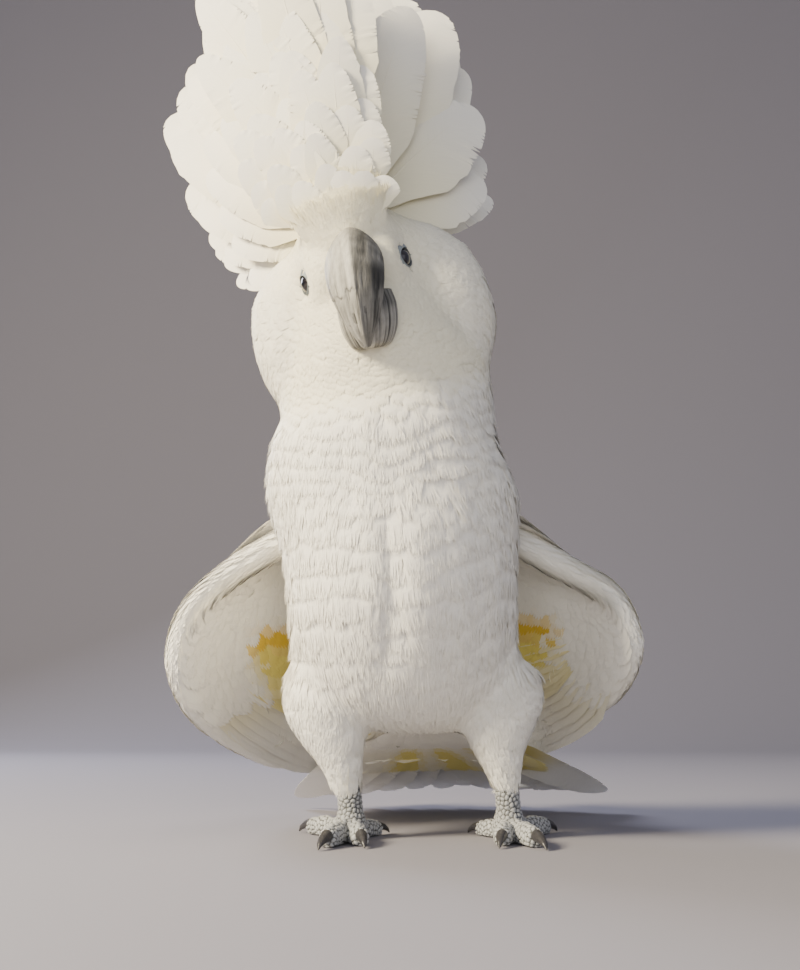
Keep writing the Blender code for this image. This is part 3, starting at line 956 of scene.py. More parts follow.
# ---- small feathers
@dataclass(frozen=True)
class Pattern:
    """A small feather: a cupped vane whose edge is parted into fine barbs.

    x runs from -1 to 1 across, y from 0 to 1 along, z is a height as a share of the length.
    """

    columns: int
    barbs: int
    parting: float  # share of the length at which the barbs part
    roundness: float  # how much shorter the sides are
    ragged: float
    cup: float = 0.05

    LEVELS = ((0.0, 0.25), (0.30, 0.85), (0.66, 1.0), (1.0, 0.96))  # share of the vane's length, width
    BARB = ((0, 3, 1), (0, 2, 3), (2, 4, 3))  # triangles of one barb
    KNEE = 0.55  # share of a barb's length at which it starts to taper

    def variant(self, rng: Chance) -> tuple[Array, Array]:
        """Draw one feather.

        Args:
            rng: Source of chance.

        Returns:
            Its points and triangles.
        """
        level, wide = np.array(self.LEVELS).T[:, :, None]
        x = np.linspace(-1.0, 1.0, self.columns + 1)[None]
        top = 1.0 - self.roundness * np.abs(x) ** 2.4
        y = level * self.parting * (1 + (top - 1) * level)
        vane = np.stack((x * wide, y, -self.cup * x**2 + 0 * level), -1)
        faces = split_quads(grid_faces(4, self.columns + 1)[:, ::-1]).tolist()
        points = vane.reshape(-1, 3).tolist()
        edge = np.linspace(-1.0, 1.0, self.barbs + 1)
        for k in range(self.barbs):
            ends = edge[k : k + 2]
            middle = ends.mean()
            crown = 1.0 - self.roundness * np.abs(ends) ** 2.4
            foot = self.parting * crown - 0.03
            peak = 1.0 - self.roundness * abs(middle) ** 2.4 + self.ragged * rng.uniform(-1.0, 0.7)
            lift, lean = rng.normal(0.0, 0.25 * self.ragged), rng.normal(0.0, 0.5 * self.ragged)
            half = 0.5 * (ends[1] - ends[0])
            start = len(points)
            for x_end, y_foot in zip(ends, foot):
                points.append((x_end * 0.96, y_foot, -self.cup * x_end**2 + 0.003))
            knee = foot.mean() + self.KNEE * (peak - foot.mean())
            for x_end in (middle - 0.82 * half, middle + 0.82 * half):
                aside = x_end * 0.95 + lean * self.KNEE * (1 - self.parting)
                points.append((aside, knee, -self.cup * x_end**2 + 0.4 * lift))
            points.append((middle * 0.94 + lean * (1 - self.parting), peak, lift - self.cup * middle**2))
            faces += [(start + a, start + b, start + c) for a, b, c in self.BARB]
        return np.array(points), np.array(faces)


class Look(Enum):
    """Kinds of small feather."""

    FINE = Pattern(3, 7, 0.70, 0.16, 0.07, 0.012)
    SOFT = Pattern(4, 10, 0.72, 0.14, 0.08, 0.010)
    HAIRY = Pattern(4, 12, 0.68, 0.12, 0.10, 0.015)
    FIRM = Pattern(5, 8, 0.86, 0.34, 0.02, 0.03)


@dataclass
class Feathers:
    """Many small feathers as arrays with one row each."""

    root: Array
    middle: Array
    tip: Array
    normal: Array  # at the root
    tip_normal: Array
    width: Array
    tint: Array
    bake: Array

    def part(self, rows: Array) -> "Feathers":
        """Only some of the feathers."""
        return Feathers(*(getattr(self, name)[rows] for name in self.__dataclass_fields__))

    def shaped(self, pattern: Pattern, rng: Chance, variants: int = 9) -> Shape:
        """Lay a pattern along every feather.

        Args:
            pattern: Kind of feather.
            rng: Source of chance.
            variants: How many differing ones are drawn.

        Returns:
            All the feathers joined.
        """
        kind = rng.integers(variants, size=len(self.root))
        shapes = []
        for k in range(variants):
            points, faces = pattern.variant(rng)
            chosen = self.part(kind == k)
            if len(chosen.root):
                shapes.append(chosen.laid(points, faces))
        return joined(shapes)

    def laid(self, points: Array, faces: Array) -> Shape:
        """Bend one pattern along each feather's curve.

        Args:
            points: Places of the pattern.
            faces: Its triangles.

        Returns:
            The bent feathers.
        """
        x, y, z = points.T[:, None, :, None]
        root, tip = self.root[:, None], self.tip[:, None]
        bend = 2.0 * self.middle[:, None] - 0.5 * (root + tip)
        place = (1 - y) ** 2 * root + 2 * y * (1 - y) * bend + y**2 * tip
        ahead = unit(2 * (1 - y) * (bend - root) + 2 * y * (tip - bend))
        normal = unit(self.normal[:, None] * (1 - y) + self.tip_normal[:, None] * y)
        across = unit(np.cross(ahead, normal))
        length = np.linalg.norm(self.tip - self.root, axis=1)[:, None, None]
        half = 0.5 * self.width[:, None, None]
        place = place + across * (x * half) + np.cross(across, ahead) * (z * length)
        # painted shade: each feather is a little darker towards its root, where the feathers over it lie
        shade = 0.94 + 0.06 * smooth_step(0.0, 0.6, y)
        tint = self.tint[:, None] * shade
        vane = np.broadcast_to(np.concatenate((x * half, y * length), -1), place.shape[:2] + (2,))
        bake = self.bake[:, None] + BAKE_PATCH * np.concatenate((0.45 * x, 0.9 * (y - 0.5)), -1)
        count, size = place.shape[:2]
        starts = (np.arange(count) * size)[:, None, None]
        return Shape(place.reshape(-1, 3), (faces[None] + starts).reshape(-1, 3), tint.reshape(-1, 3),
                     vane.reshape(-1, 2), bake.reshape(-1, 2))


def adopt_tufts(name: str, shape: Shape, material: bpy.types.Material) -> None:
    """Make the pieces that hold many small feathers, none of them too large.

    Args:
        name: Middle of the pieces' names.
        shape: The feathers.
        material: Their finish.
    """
    parts = math.ceil(shape.triangles / PIECE_TRIANGLES)
    for index, faces in enumerate(np.array_split(shape.faces, parts)):
        used, flat = np.unique(faces, return_inverse=True)
        piece = Shape(shape.points[used], flat.reshape(faces.shape), shape.tints[used],
                      shape.vane[used], shape.bake[used])
        adopt(mesh_object(f"coat_{name}_{index + 1}", piece, material), "down")


@dataclass
class Coat:
    """The small feathers over the whole skin."""

    skin: Skin
    rng: Chance

    LOOKS = {"brow": Look.HAIRY, "face": Look.FINE, "cheek": Look.SOFT, "neck": Look.HAIRY,
             "trunk": Look.HAIRY, "thigh": Look.HAIRY, "tail": Look.FIRM, "wing": Look.FIRM}

    def scatter(self) -> tuple[Array, Array]:
        """Evenly strewn roots on the skin, as triangles and places within them."""
        points, faces = self.skin.points, self.skin.faces
        a, b, c = (points[faces[:, k]] for k in range(3))
        area = 0.5 * np.linalg.norm(np.cross(b - a, c - a), axis=1)
        spacing = self.spacing()
        wanted = area / (spacing[faces].mean(1) ** 2)
        count = int(wanted.sum() * 3.2)
        chosen = self.rng.choice(len(faces), count, p=wanted / wanted.sum())
        share = np.sort(self.rng.random((count, 2)), axis=1)
        share = np.stack((share[:, 0], share[:, 1] - share[:, 0], 1 - share[:, 1]), 1)
        places = (points[faces[chosen]] * share[:, :, None]).sum(1)
        gap = (spacing[faces[chosen]] * share).sum(1) * 0.80
        kept = self.thinned(places, gap)
        return chosen[kept], share[kept]

    def spacing(self) -> Array:
        """Distance between feather roots at every point of the skin, smallest by the bill and the eyes."""
        local = head_local(self.skin.points)
        reach = np.linalg.norm(local - BILL_BASE, axis=1)
        finer = 0.66 + 0.34 * smooth_step(14.0, 45.0, reach)
        for side in SIDES.values():
            off, along = from_eye(local, side)
            finer *= 1.0 - 0.35 * np.exp(-((np.linalg.norm(off, axis=1) / 9.0) ** 2)) * (along > -6)
        back = 1.0 + 0.25 * smooth_step(20.0, 60.0, self.skin.points[:, 1])
        return self.skin.blend("spacing") * finer * back

    @staticmethod
    def thinned(places: Array, gap: Array) -> Array:
        """Thin places out.

        Args:
            places: Working places.
            gap: Least distance of each to another, mm.

        Returns:
            Indices of the places kept.
        """
        size = float(gap.max())
        cells: dict[tuple[int, int, int], list[int]] = {}
        keys = np.floor(places / size).astype(int).tolist()
        spots, gaps, kept = places.tolist(), (gap**2).tolist(), []
        around = [(i, j, k) for i in (-1, 0, 1) for j in (-1, 0, 1) for k in (-1, 0, 1)]
        for index, (i, j, k) in enumerate(keys):
            x, y, z = spots[index]
            least = gaps[index]
            if any(
                (spots[o][0] - x) ** 2 + (spots[o][1] - y) ** 2 + (spots[o][2] - z) ** 2 < least
                for di, dj, dk in around
                for o in cells.get((i + di, j + dj, k + dk), ())
            ):
                continue
            cells.setdefault((i, j, k), []).append(index)
            kept.append(index)
        return np.array(kept)

    def grow(self) -> dict[str, Feathers]:
        """Lay a feather from every root over the skin, grouped by region."""
        skin, rng = self.skin, self.rng
        chosen, share = self.scatter()
        corners = skin.faces[chosen]

        def at(values: Array) -> Array:
            """Values of the skin's points at the roots."""
            weight = share if values.ndim == 1 else share[:, :, None]
            return (values[corners] * weight).sum(1)

        root, normal, lie = at(skin.points), unit(at(skin.normals)), unit(at(skin.lie))
        local, count = head_local(root), len(root)
        names = skin.names[corners[np.arange(count), share.argmax(1)]]
        finer = at(self.spacing()) / at(skin.blend("spacing"))
        ankle = (at(skin.weights["thigh"]) * smooth_step(44.0, 34.0, root[:, 2]))[:, None]
        fringe = (band(20.0, 25.0, 30.0, 36.0, local[:, 2]) * (local[:, 1] < -30))[:, None]
        nape, back = self.nape(local)
        free = np.maximum(ankle, np.maximum(fringe, nape))
        brow = np.maximum(at(skin.brow)[:, None], fringe)
        back_lean = -0.16 + 0.38 * smooth_step(28.0, 46.0, local[:, 2])
        rising = unit(np.stack((local[:, 0] / 40.0, back_lean, 1.0 + 0 * finer), 1) @ HEAD_TURN.T)
        side = np.cross(lie, normal)
        lie = lie * (1.0 - brow) + rising * brow
        lie = lie * (1.0 - nape) + back * nape
        lie = unit(lie + side * rng.normal(0, 0.09, (count, 1)))
        longer = (1.0 + 0.5 * brow + 0.4 * fringe + 1.5 * nape)[:, 0]
        length = at(skin.blend("length")) * finer * rng.uniform(0.88, 1.10, count) * longer
        past = self.into_rows(root + lie * length[:, None], at(skin.blend("row")), lie)
        length = length + past * at(skin.blend("order"))
        rise = at(skin.blend("depth")) * rng.uniform(0.84, 0.95, count)
        rise = np.maximum(rise + at(skin.blend("lift")) * rng.normal(0, 0.6, count), 0.5)
        middle, middle_normal = self.snapped(root + lie * 0.5 * length[:, None], normal, free)
        ahead = unit(middle - root)
        tip, tip_normal = self.snapped(middle + ahead * 0.5 * length[:, None], middle_normal, free)
        middle = middle + middle_normal * (at(skin.blend("arch")) * rise)[:, None]
        tip = tip + tip_normal * rise[:, None]
        tint = Markings.at(root, {key: at(value) for key, value in skin.weights.items()})
        tint = np.clip(tint * (1.0 + rng.normal(0, 0.008, (count, 1))), 0, 1)
        bake = (skin.corners[chosen] * share[:, :, None]).sum(1)
        width = at(skin.blend("width")) * finer * (1.0 + 0.4 * brow + 1.2 * nape)[:, 0]
        feathers = Feathers(root - normal * 0.3, middle, tip, normal, tip_normal, width, tint, bake)
        keep = self.clear_of_face(root, tip) & ((names != "wing") | self.on_top(root, normal))
        keep &= (names != "tail") | (normal[:, 2] > 0.0)
        keep &= (names != "face") | (local[:, 2] < 52.0)
        names = np.where(brow[:, 0] > 0.4, "brow", names)
        return {name: feathers.part(keep & (names == name)) for name in self.LOOKS}

    @staticmethod
    def nape(local: Array) -> tuple[Array, Array]:
        """Tell the feathers behind the crest's roots.

        Args:
            local: Roots in the head's space.

        Returns:
            How much each is one of them, and where they point.
        """
        x, y, z = local.T
        beside = 1.0 - smooth_step(22.0, 34.0, np.abs(x))
        share = smooth_step(2.0, 14.0, y) * smooth_step(24.0, 33.0, z) * beside
        return share[:, None], unit(np.stack((x / 26.0, 0.62 + 0 * y, 0.80 + 0 * y), 1)) @ HEAD_TURN.T

    def snapped(self, places: Array, normals: Array,
                free: Array) -> tuple[Array, Array]:
        """Lay places on the skin.

        Args:
            places: Working places.
            normals: Directions that the free ones keep.
            free: How far each stays where it is, 0 to 1.

        Returns:
            Places and the normals there.
        """
        found = [self.skin.tree.find_nearest(Vector(p)) for p in places]
        near, across = np.array([f[0] for f in found]), np.array([f[1] for f in found])
        return near * (1 - free) + places * free, unit(across * (1 - free) + normals * free)

    @staticmethod
    def into_rows(tips: Array, step: Array, lie: Array) -> Array:
        """How much longer a feather must be for its tip to end on the nearest row."""
        phase = row_of(tips, step)
        return (phase - np.round(phase)) * step * np.clip(-lie[:, 2], 0.0, 1.0)

    @staticmethod
    def clear_of_face(root: Array, tip: Array) -> Array:
        """Keep the bare eye rings clear.

        Args:
            root: Working places.
            tip: Working places.

        Returns:
            Which feathers lie clear of them.
        """
        clear = np.ones(len(root), bool)
        for side in SIDES.values():
            for places, least in ((root, BARE_RING - 0.6), (tip, BARE_RING - 1.4)):
                off, along = from_eye(head_local(places), side)
                clear &= (np.linalg.norm(off, axis=1) > least) | (along < -4)
        return clear

    @staticmethod
    def on_top(root: Array, normal: Array) -> Array:
        """Which feathers of a wing root on its upper side, behind the leading edge."""
        sides = [(wing.nearest(root)[1] > 0.10) & (normal @ wing.outward > -0.1) for wing in WINGS.values()]
        return np.where(root[:, 0] < 0, *sides)

    def build(self, material: bpy.types.Material) -> None:
        """Make the pieces of the coat."""
        for name, feathers in self.grow().items():
            adopt_tufts(name, feathers.shaped(self.LOOKS[name].value, self.rng), material)


# ---- large feathers
@dataclass(frozen=True)
class Blade:
    """A large feather: a shaft and a closed thin vane, notched where its barbs part.

    path holds places of the shaft from root to tip, and facing the direction of its upper side there.
    """

    path: Array
    facing: Array
    width: float
    inner: float = 0.5  # share of the width on the -across side
    blunt: float = 2.6  # higher is squarer at the tip
    splits: int = 5  # notches on each side
    thickness: float = 0.35
    camber: float = 0.16
    wide_from: float = 0.30
    curl: float = 0.0  # how far the rim bends down, mm

    LANES = 6
    ROWS = 18

    def outline(self, s: Array) -> Array:
        """Half width of a vane, from 0 to 1, where a barb leaves the shaft."""
        base = smooth_step(-0.05, self.wide_from, s) * 0.75 + 0.25
        return base * np.maximum(1.0 - s**self.blunt, 0.0) ** 0.5

    def frames(self, s: Array) -> tuple[Array, ...]:
        """Follow the shaft.

        Args:
            s: Shares of the way from root to tip.

        Returns:
            Places, and the directions ahead, across and up there.
        """
        place, up = flow(self.path, s), unit(flow(self.facing, s))
        ahead = unit(flow(self.path, np.minimum(s + 0.02, 1.0)) - flow(self.path, np.maximum(s - 0.02, 0.0)))
        across = unit(np.cross(ahead, up))
        return place, ahead, across, np.cross(across, ahead)

    def barbs(self, rng: Chance, length: float) -> tuple[Array, Array, Array]:
        """Draw the rows of barbs, with notches where they part.

        Args:
            rng: Source of chance.
            length: The feather's length, mm.

        Returns:
            Where each row leaves the shaft, how far out it reaches and how high it lies, by side.
        """
        rows = []
        for x in np.linspace(0.03, 0.985, self.ROWS):
            rows.append((1.0 - (1.0 - x) ** 1.5, *(1.0 + 0.025 * rng.normal(size=2)), 0.0, 0.0))
        notch = 0.55 / length
        for side in (0, 1):
            level = 0.0
            cuts = 0.98 - 0.62 * rng.random((self.splits, 1)) ** 1.5
            cuts = cuts - np.arange(4) * (2.3 / length) * (rng.random((self.splits, 1)) < 0.5)
            for cut in np.unique(np.maximum(cuts, 0.1)):
                rows = [row for row in rows if abs(row[0] - cut) > 2.2 * notch]
                depth, after = 1.0 - 0.22 * rng.random() ** 2 - 0.04, rng.normal(0.0, 0.007) * self.width
                edges = ((-notch, 1.0, level), (0.0, depth, 0.5 * (level + after)), (notch, 1.0, after))
                for shift, reach, lift in edges:
                    values = [min(cut + shift, 0.995), 1.0, 1.0, 0.0, 0.0]
                    values[1 + side], values[3 + side] = reach, lift
                    rows.append(tuple(values))
                level = after
        table = np.array(sorted(rows))
        return table[:, 0], table[:, 1:3], table[:, 3:5]

    def shape(self, rng: Chance, upper: Paint, under: Paint,
              cell: tuple[float, float, float, float]) -> Shape:
        """Build the feather.

        Args:
            rng: Source of chance.
            upper: Gives colours of the upper side from places along (0-1) and across (-1 to 1).
            under: The same for the underside.
            cell: The feather's rectangle of the bake map: x, y, width, height.

        Returns:
            The feather's closed vane and shaft.
        """
        length = np.linalg.norm(np.diff(flow(self.path, np.linspace(0, 1, 30)), axis=0), axis=1).sum()
        s, reach, lift = self.barbs(rng, length)
        columns = 2 * self.LANES + 1
        t = np.linspace(-1.0, 1.0, columns)[None]
        side = (t > 0).astype(int)
        s = s[:, None]
        half = np.where(t < 0, self.width * self.inner, self.width * (1.0 - self.inner))
        out = half * self.outline(s) * np.abs(t) * np.take_along_axis(reach, np.repeat(side, len(s), 0), 1)
        along = np.clip(s + out * (0.95 - 0.35 * s) / length * (1.0 - s) ** 0.55, 0.0, 1.0)
        place, _, across, up = self.frames(along)
        height = -self.camber * out**2 / half - self.curl * (out / half) ** 4
        height = height + np.take_along_axis(lift, np.repeat(side, len(s), 0), 1) * t**2
        thick = self.thickness * (1.0 - 0.75 * np.abs(t)) + 0 * s
        middle = place + across * (np.sign(t) * out)[..., None] + up * height[..., None]
        top, bottom = middle + up * (0.5 * thick)[..., None], middle - up * (0.5 * thick)[..., None]
        wide = np.sign(t) * out / self.width
        spots = np.stack((wide * self.width, along * length), -1).reshape(-1, 2)
        colours = [paint(along, np.clip(2 * wide, -1, 1)).reshape(-1, 3) for paint in (upper, under)]
        x, y, w, h = cell
        maps = [np.stack((x + w * (place + 0.34 * wide), y + h * (0.02 + 0.96 * along)), -1).reshape(-1, 2)
                for place in (0.24, 0.70)]
        rows = len(s)
        count = rows * columns
        face = split_quads(grid_faces(rows, columns))
        rim = np.concatenate((
            np.arange(columns), np.arange(1, rows) * columns + columns - 1,
            (rows - 1) * columns + np.arange(columns - 2, -1, -1), np.arange(rows - 2, 0, -1) * columns,
        ))
        after = np.roll(rim, -1)
        wall = split_quads(np.stack((after, rim, rim + count, after + count), -1))
        step = np.arange(len(rim)) / len(rim)
        ends = np.stack((step + 1 / len(rim), step, step, step + 1 / len(rim)), -1)
        strip = np.stack((x + w * np.array((0.945, 0.945, 0.96, 0.96)) + 0 * ends, y + h * ends), -1)
        strip = strip[:, [0, 1, 2, 0, 2, 3]].reshape(-1, 2)
        vane = Shape(
            np.concatenate((top.reshape(-1, 3), bottom.reshape(-1, 3))),
            np.concatenate((face, face[:, ::-1] + count, wall)),
            np.concatenate(colours), np.concatenate((spots, spots)),
            np.concatenate((maps[0][face.ravel()], maps[1][face[:, ::-1].ravel()], strip)),
        )
        return joined([vane, self.shaft(length, cell, upper)])

    def shaft(self, length: float, cell: tuple, upper: Paint) -> Shape:
        """The tapering shaft, a little proud of both sides.

        Args:
            length: The feather's length, mm.
            cell: Its rectangle of the bake map.
            upper: Paint of its upper side.

        Returns:
            The closed shaft.
        """
        rows, round_ = 14, 6
        s = np.linspace(0.0, 0.97, rows)[:, None]
        turn = np.linspace(0, 2 * math.pi, round_, endpoint=False)[None, :]
        place, _, across, up = self.frames(s)
        radius = np.clip(self.width * 0.022, 0.2, 0.7) * (1.0 - 0.85 * s)
        rings = place + across * (radius * np.cos(turn))[..., None]
        rings = rings + up * (0.8 * radius * np.sin(turn))[..., None]
        tints = np.broadcast_to(mixed(upper(s, s * 0), Tone.SHAFT.rgb, 0.35 + s * 0), (rows, round_, 3))
        x, y, w, h = cell
        maps = spread(x + w * (0.98 + 0.015 * np.cos(turn)), y + h * s)
        spots = spread(0.0 * turn, s * length)
        points, faces = tube(rings)
        maps = capped(maps)[faces.ravel()]
        return Shape(points, faces, capped(tints), capped(spots), maps)


@dataclass
class Quills:
    """A set of large feathers that becomes one piece."""

    name: str
    slot: str
    nodes: tuple[str, ...]
    blades: list[tuple[Blade, Paint, Paint]]  # each with its upper and its under side's paint

    def build(self, rng: Chance, material: bpy.types.Material) -> None:
        """Join the blades, each with a cell of the bake map of its own.

        Args:
            rng: Source of chance.
            material: Their finish.
        """
        across = math.ceil(math.sqrt(len(self.blades)))
        shapes = []
        for index, (blade, upper, under) in enumerate(self.blades):
            cell = (index % across / across, index // across / across, 0.97 / across, 0.97 / across)
            shapes.append(blade.shape(rng, upper, under, cell))
        thing = mesh_object(self.name, joined(shapes), material)
        thing.data.set_sharp_from_angle(angle=math.radians(55))
        adopt(thing, self.slot, self.nodes)


def white_with_painted_shade(along: Array, across: Array) -> Array:
    """White with painted shade: greyer near the root and where the next feather lies over it."""
    # painted shade: greyer near the root and along the edges that the next feather covers
    unshaded = smooth_step(-0.2, 0.3, along + 0 * across) * (1.0 - 0.35 * smooth_step(0.4, 1.0, np.abs(across)))
    return mixed(Tone.ROOT.rgb, Tone.WHITE.rgb, unshaded)


def cream_crest(along: Array, across: Array) -> Array:
    """White with a warm base."""
    return mixed(Tone.CREAM.rgb, Tone.WHITE.rgb, smooth_step(0.3, 1.0, along + 0 * across))


def washed(strength: float, until: float, gold: float = 0.0) -> Paint:
    """Paint for an underside that is yellow towards its root.

    Args:
        strength: How yellow the yellow is.
        until: Share of the length at which it has faded out.
        gold: How much of it is deep gold.

    Returns:
        A paint of places along and across a feather.
    """

    def paint(along: Array, across: Array) -> Array:
        """Yellow near the root, white beyond."""
        deep = gold * (1.0 - smooth_step(0.0, until, along + 0 * across))
        share = strength * (1.0 - smooth_step(0.45 * until, until, along))
        share = share * (1.0 - 0.45 * np.abs(across) ** 3)
        return mixed(Tone.WHITE.rgb, mixed(Tone.LEMON.rgb, Tone.GOLD.rgb, deep), share)

    return paint


@dataclass
class Crest:
    """The raised crest: rear, middle and front rows of plumes on the crown.

    Each plume of a fan is given by the degrees of its tip from upright, plus towards the bird's left,
    and by its reach and width in mm.
    """

    rng: Chance
    rear: Fan = (
        (-98, 60, 26), (-85, 68, 28), (-70, 80, 34), (-54, 103, 42), (-38, 141, 52), (-26, 152, 46),
        (-14, 182, 44), (-2, 184, 42), (9, 181, 50), (20, 152, 56), (33, 141, 56), (46, 106, 44),
        (62, 84, 44), (80, 78, 36),
    )
    middle: Fan = (
        (-92, 56, 26), (-76, 68, 30), (-60, 86, 38), (-44, 112, 44), (-30, 124, 44), (-18, 142, 40),
        (-6, 154, 40), (6, 156, 40), (18, 142, 46), (34, 132, 56), (56, 94, 50), (78, 74, 42),
    )
    fore: Fan = ((-72, 62, 28), (-60, 70, 30), (-49, 82, 32), (-39, 92, 32), (14, 138, 34), (28, 124, 44))
    ridge: Fan = (
        (-34, 86, 32), (-28, 102, 34), (-22, 122, 36), (-16, 142, 36), (-10, 158, 34), (-4, 162, 30),
        (2, 150, 26), (8, 134, 24),
    )
    brow_rows: int = 7
    brow_half: float = 20.5  # half the width of the forehead's lowest row
    brow_step: float = 6.4  # from row to row

    def plume(self, degrees: float, reach: float, width: float, base: tuple[float, float], lean: float,
              root: float, bow: float, roof: float, aside: float = 0.0) -> Blade:
        """One plume from the crown out to its reach.

        Args:
            degrees: Direction of the tip from upright.
            reach: Distance of the tip from the fan's middle.
            width: Width of the plume.
            base: Y and Z of the fan's middle in the head's space.
            lean: How far the fan leans back for each mm out.
            root: Distance of the root from the fan's middle.
            bow: How far the tips curl back.
            roof: How far the sides fall back from the middle.
            aside: How far the root stands off the middle of the head.

        Returns:
            The plume.
        """
        turn = math.radians(degrees)
        s = np.linspace(0.0, 1.0, 6)
        out = root + (reach - root) * s
        bend = math.radians(degrees * 0.80) + (turn - math.radians(degrees * 0.80)) * s**0.7
        x, z = aside + out * np.sin(bend), base[1] + out * np.cos(bend)
        y = base[0] + lean * out + bow * s**2 + roof * np.abs(np.sin(turn)) * out
        slope = roof * 1.4 * math.tanh((degrees + 3.0) / 6.0) * math.cos(turn) + 0.35 * math.sin(turn)
        facing = np.stack((slope + 0 * s, -1.0 + 0 * s, lean + 0.2 * s), 1)
        facing[:, 0] += self.rng.normal(0, 0.05)
        return Blade(in_head(np.stack((x, y, z), 1)), facing @ HEAD_TURN.T, width, 0.5, 3.2, 5,
                     thickness=0.3, camber=0.12, wide_from=0.36, curl=1.2)

    def between(self) -> list[tuple[float, float, float]]:
        """A row that stands between the rear and the middle one."""
        rear, middle = np.array(self.rear), np.array(self.middle)
        degrees = np.concatenate((np.arange(-90.0, 12.0, 12.0), (24.0, 44.0, 68.0)))
        degrees = degrees + self.rng.normal(0, 1.5, 12)
        reach, width = (np.interp(degrees, rear[:, 0], rear[:, k]) for k in (1, 2))
        reach = 0.5 * (reach + np.interp(degrees, middle[:, 0], middle[:, 1]))
        return list(zip(degrees, reach, width))

    def forehead(self) -> list[Blade]:
        """Soft flat plumes up the forehead, rooted in the brow, each row longer than the one before it."""
        blades = []
        for row in range(self.brow_rows):
            edge, count = self.brow_half - 1.7 * row, 7 - row % 2
            for x in np.linspace(-edge, edge - 3.0, count) + self.rng.normal(0.0, 1.0, count):
                rise = self.brow_step * row + self.rng.normal(0.0, 2.0)
                base = (-35.3 + 0.21 * rise + 0.010 * x * x, 29.0 + rise)
                reach = (28.0 + 5.0 * row + 1.3 * row**2) * self.rng.uniform(0.88, 1.12)
                reach *= 1.0 - 0.20 * (x / edge) ** 2 - 0.10 * float(smooth_step(0.0, edge, x))
                plume = self.plume((1.3 + 0.22 * row) * x - 4.0, reach, 16.0 + 2.6 * row, base,
                                   -0.10 + 0.045 * row, 3.0, 1.6 + 0.4 * row**2, 0.06, x)
                blades.append(replace(plume, thickness=0.15, camber=0.05, curl=0.2, blunt=2.2))
        return blades

    def rows(self) -> dict[str, list[Blade]]:
        """The plumes of each row."""
        rows = {"rear": [], "middle": [], "fore": self.forehead()}
        fans = (
            ("rear", self.rear, (26.0, 28.0), 0.50, 4.0, 10.0, 0.04),
            ("rear", self.between(), (13.0, 29.0), 0.43, 6.0, 9.0, 0.07),
            ("middle", self.middle, (0.0, 30.0), 0.36, 13.0, 8.0, 0.10),
            ("fore", self.fore, (-15.0, 28.0), 0.20, 11.0, 6.0, 0.34),
            ("fore", self.ridge, (-26.0, 26.0), 0.24, 11.0, 6.0, 0.50),
        )
        for name, plumes, (y, z), lean, root, bow, roof in fans:
            for degrees, reach, width in plumes:
                base = (y + self.rng.normal(0.0, 2.6), z)
                rows[name].append(self.plume(degrees, reach, width, base, lean, root, bow, roof))
        return rows

    def build(self, material: bpy.types.Material) -> None:
        """Make one piece for each row.

        Args:
            material: The plumes' finish.
        """
        for name, blades in self.rows().items():
            Quills(f"crest_{name}_plumes", "vane", (f"crest_{name}",),
                   [(blade, cream_crest, cream_crest) for blade in blades]).build(self.rng, material)


